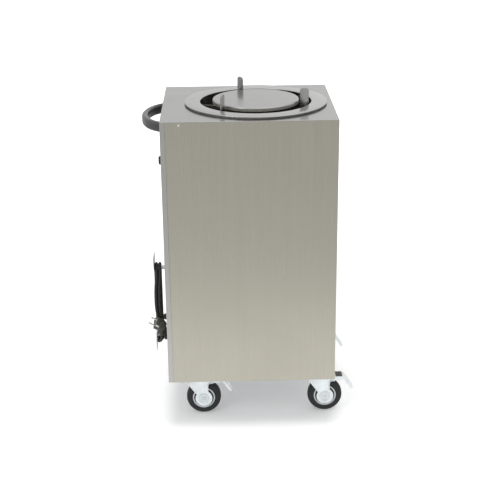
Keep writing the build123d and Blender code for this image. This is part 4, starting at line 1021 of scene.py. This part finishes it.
# the barrel, pins and strips are measured from the face, the neck's ribs from where the cord enters
plugShape = {
    "face": (-0.284, -0.113, 0.28), "tilt": 27.0, "voxel": 0.0007, "relax": (0.5, 3),
    "barrel": [(0, 0), (0.0168, 0), (0.0182, -0.0004), (0.019, -0.0014), (0.019, -0.00945),
               (0.018, -0.01155), (0.0178, -0.01785), (0.0172, -0.021), (0.0148, -0.027),
               (0.0105, -0.0315), (0.005, -0.033), (0, -0.0332)],
    "ribs": 6, "ribStart": (0.0062, 0.0008), "ribStep": (0.0006, 0.0036),
    "rib": [(-0.001, 0), (0, 0.0005), (0, 0.0021), (-0.0012, 0.0027)],
    "shoulder": [(0.01, 0.025), (0.0112, 0.03), (0.0105, 0.0335), (0, 0.0345)],
    "pinApart": 0.0095, "pin": [(0, -0.003), (0.0024, -0.003), (0.0024, 0.0175), (0.0019, 0.0186),
                                (0.001, 0.019), (0, 0.019)],
    "strip": [(0.0168, -0.0006), (0.0193, -0.0012), (0.0194, -0.012), (0.0168, -0.013)],
    "stripHalf": 0.003, "stripEdge": 0.0002,
}


def makePlug(s, entry):
    tilt = radians(s["tilt"])
    out = Vector((-cos(tilt), 0, sin(tilt)))
    across = Vector((0, 1, 0))
    turn = Matrix((across, out.cross(across), out)).transposed().to_4x4()
    turn.translation = s["face"]
    neck = [(0, 0.0004)]
    for k in range(s["ribs"]):
        r, h = (start + step * k for start, step in zip(s["ribStart"], s["ribStep"]))
        neck += [(r + dr, h + dh) for dr, dh in s["rib"]]
    bm = bmesh.new()
    lathe(bm, s["barrel"], turn, sides["barrel"])
    lathe(bm, neck + s["shoulder"], placed(*entry), sides["neck"])
    body = meshFrom("plugBody", bm)
    remesh = body.modifiers.new("moulded", "REMESH")
    remesh.mode, remesh.voxel_size = "VOXEL", s["voxel"]
    relax = body.modifiers.new("relax", "SMOOTH")
    relax.factor, relax.iterations = s["relax"]
    applied(body)
    body.data.shade_smooth()
    fitted(body, "black_rubber", "cart", "plug_body", finish="grey_rubber")

    pins, strips = bmesh.new(), bmesh.new()
    for side in (-1, 1):
        lathe(pins, s["pin"], turn @ placed(0, side * s["pinApart"], 0), sides["pin"])
        strip = [(side * x, z) for x, z in s["strip"]]
        prism(strips, strip, -s["stripHalf"], s["stripHalf"], turn)
    fitted(meshFrom("plugPins", pins, sharpOn["turned"]), "brass", "cart", "plug_contacts")
    fitted(bevelled(meshFrom("earthStrips", strips), s["stripEdge"], 1), "brass", "cart")


makePlug(plugShape, cordStyle["plugEntry"])
print("plug made")


# lamps are (name, place, turn in degrees, width, watts)
studio = {
    "floorSize": 40.0, "floorColour": (0.8, 0.8, 0.8), "floorRough": 0.9, "floorShine": 0.2,
    "footprint": (0.215, 0.205, 1.0),
    # the camera-seen fill is lower near the footprint, a painted shadow around the cart; glow is a painted
    # pool of light seen only in reflections
    "fill": (0.22, 0.5), "fillReach": (0.0, 0.07), "farFill": (0, 0.45), "farReach": (0.25, 2.0),
    "glow": (0.46, 0.0), "glowReach": (0.1, 1.6), "worldShown": 1.0, "worldLight": 0.65,
    "wall": (0.72, 1.0), "wallReach": (-0.4, 0.4),
    "lamps": [("overhead", (0.0, 0.25, 2.7), (0, 0, 0), 2.8, 14),
              ("frontLeft", (-1.9, -2.2, 2.3), (48, 0, -40), 1.4, 14)],
}


def shownAndMirrored(tree):
    # what the camera sees, also through glass, and what metal mirrors
    path = addNode(tree, "LightPath")
    shown = calc(tree, "MAXIMUM", path.outputs["Is Camera Ray"], path.outputs["Is Transmission Ray"])
    return shown, path.outputs["Is Glossy Ray"]


def studioFloor(s):
    # white away from the cart; the camera-seen glow is lower near the cart's footprint, a painted shadow
    # around and under it; and a painted pool of light that only the metal's reflections see
    mat, tree, shader = newMaterial("studioFloor")
    shader.inputs["Base Color"].default_value = (*s["floorColour"], 1)
    shader.inputs["Roughness"].default_value = s["floorRough"]
    shader.inputs["Specular IOR Level"].default_value = s["floorShine"]
    shader.inputs["Emission Color"].default_value = (1, 1, 1, 1)
    away = addNode(tree, "TexCoord").outputs["Object"]
    steps = (("ABSOLUTE", None), ("SUBTRACT", s["footprint"]), ("MAXIMUM", (0, 0, 0)), ("LENGTH", None))
    for operation, value in steps:
        node = addNode(tree, "VectorMath", {1: value} if value else None, operation=operation)
        tree.links.new(away, node.inputs[0])
        away = node.outputs["Value" if operation == "LENGTH" else "Vector"]

    def rising(values, reach):
        return ranged(tree, away, *values, *reach, interpolation_type="SMOOTHSTEP")

    seen, glossy = shownAndMirrored(tree)
    # painted shadow: less glow near the cart's footprint
    fill = calc(tree, "ADD", rising(s["fill"], s["fillReach"]), rising(s["farFill"], s["farReach"]))
    mirrored = calc(tree, "MULTIPLY", glossy, rising(s["glow"], s["glowReach"]))
    strength = calc(tree, "ADD", calc(tree, "MULTIPLY", seen, fill), mirrored)
    tree.links.new(strength, shader.inputs["Emission Strength"])
    return mat


def studioWorld(s):
    # white to the camera, softer on the cart, and, on the handle's side, a painted darker wall that only the
    # metal's reflections see
    world = bpy.data.worlds.new("studio")
    world.use_nodes = True
    tree = world.node_tree
    seen, glossy = shownAndMirrored(tree)
    across = addNode(tree, "SeparateXYZ")
    tree.links.new(addNode(tree, "TexCoord").outputs["Generated"], across.inputs[0])
    wall = ranged(tree, across.outputs["X"], *s["wall"], *s["wallReach"])
    shown = calc(tree, "MULTIPLY", seen, s["worldShown"] - s["worldLight"])
    mirrored = calc(tree, "MULTIPLY", glossy, calc(tree, "SUBTRACT", wall, s["worldLight"]))
    strength = calc(tree, "ADD", calc(tree, "ADD", shown, mirrored), s["worldLight"])
    back = tree.nodes["Background"]
    back.inputs["Color"].default_value = (1, 1, 1, 1)
    tree.links.new(strength, back.inputs["Strength"])
    return world


def makeStudio(s):
    scene = bpy.context.scene
    scene.view_settings.view_transform = "Standard"
    scene.world = studioWorld(s)
    bm = bmesh.new()
    bmesh.ops.create_grid(bm, x_segments=2, y_segments=2, size=s["floorSize"] / 2)
    floor = meshFrom("floor", bm)
    floor.data.materials.append(studioFloor(s))
    for name, place, turn, size, power in s["lamps"]:
        data = bpy.data.lights.new(name, "AREA")
        data.shape, data.size, data.energy = "DISK", size, power
        lamp = bpy.data.objects.new(name, data)
        lamp.location = place
        lamp.rotation_euler = [radians(a) for a in turn]
        scene.collection.objects.link(lamp)


makeStudio(studio)
print("studio made")
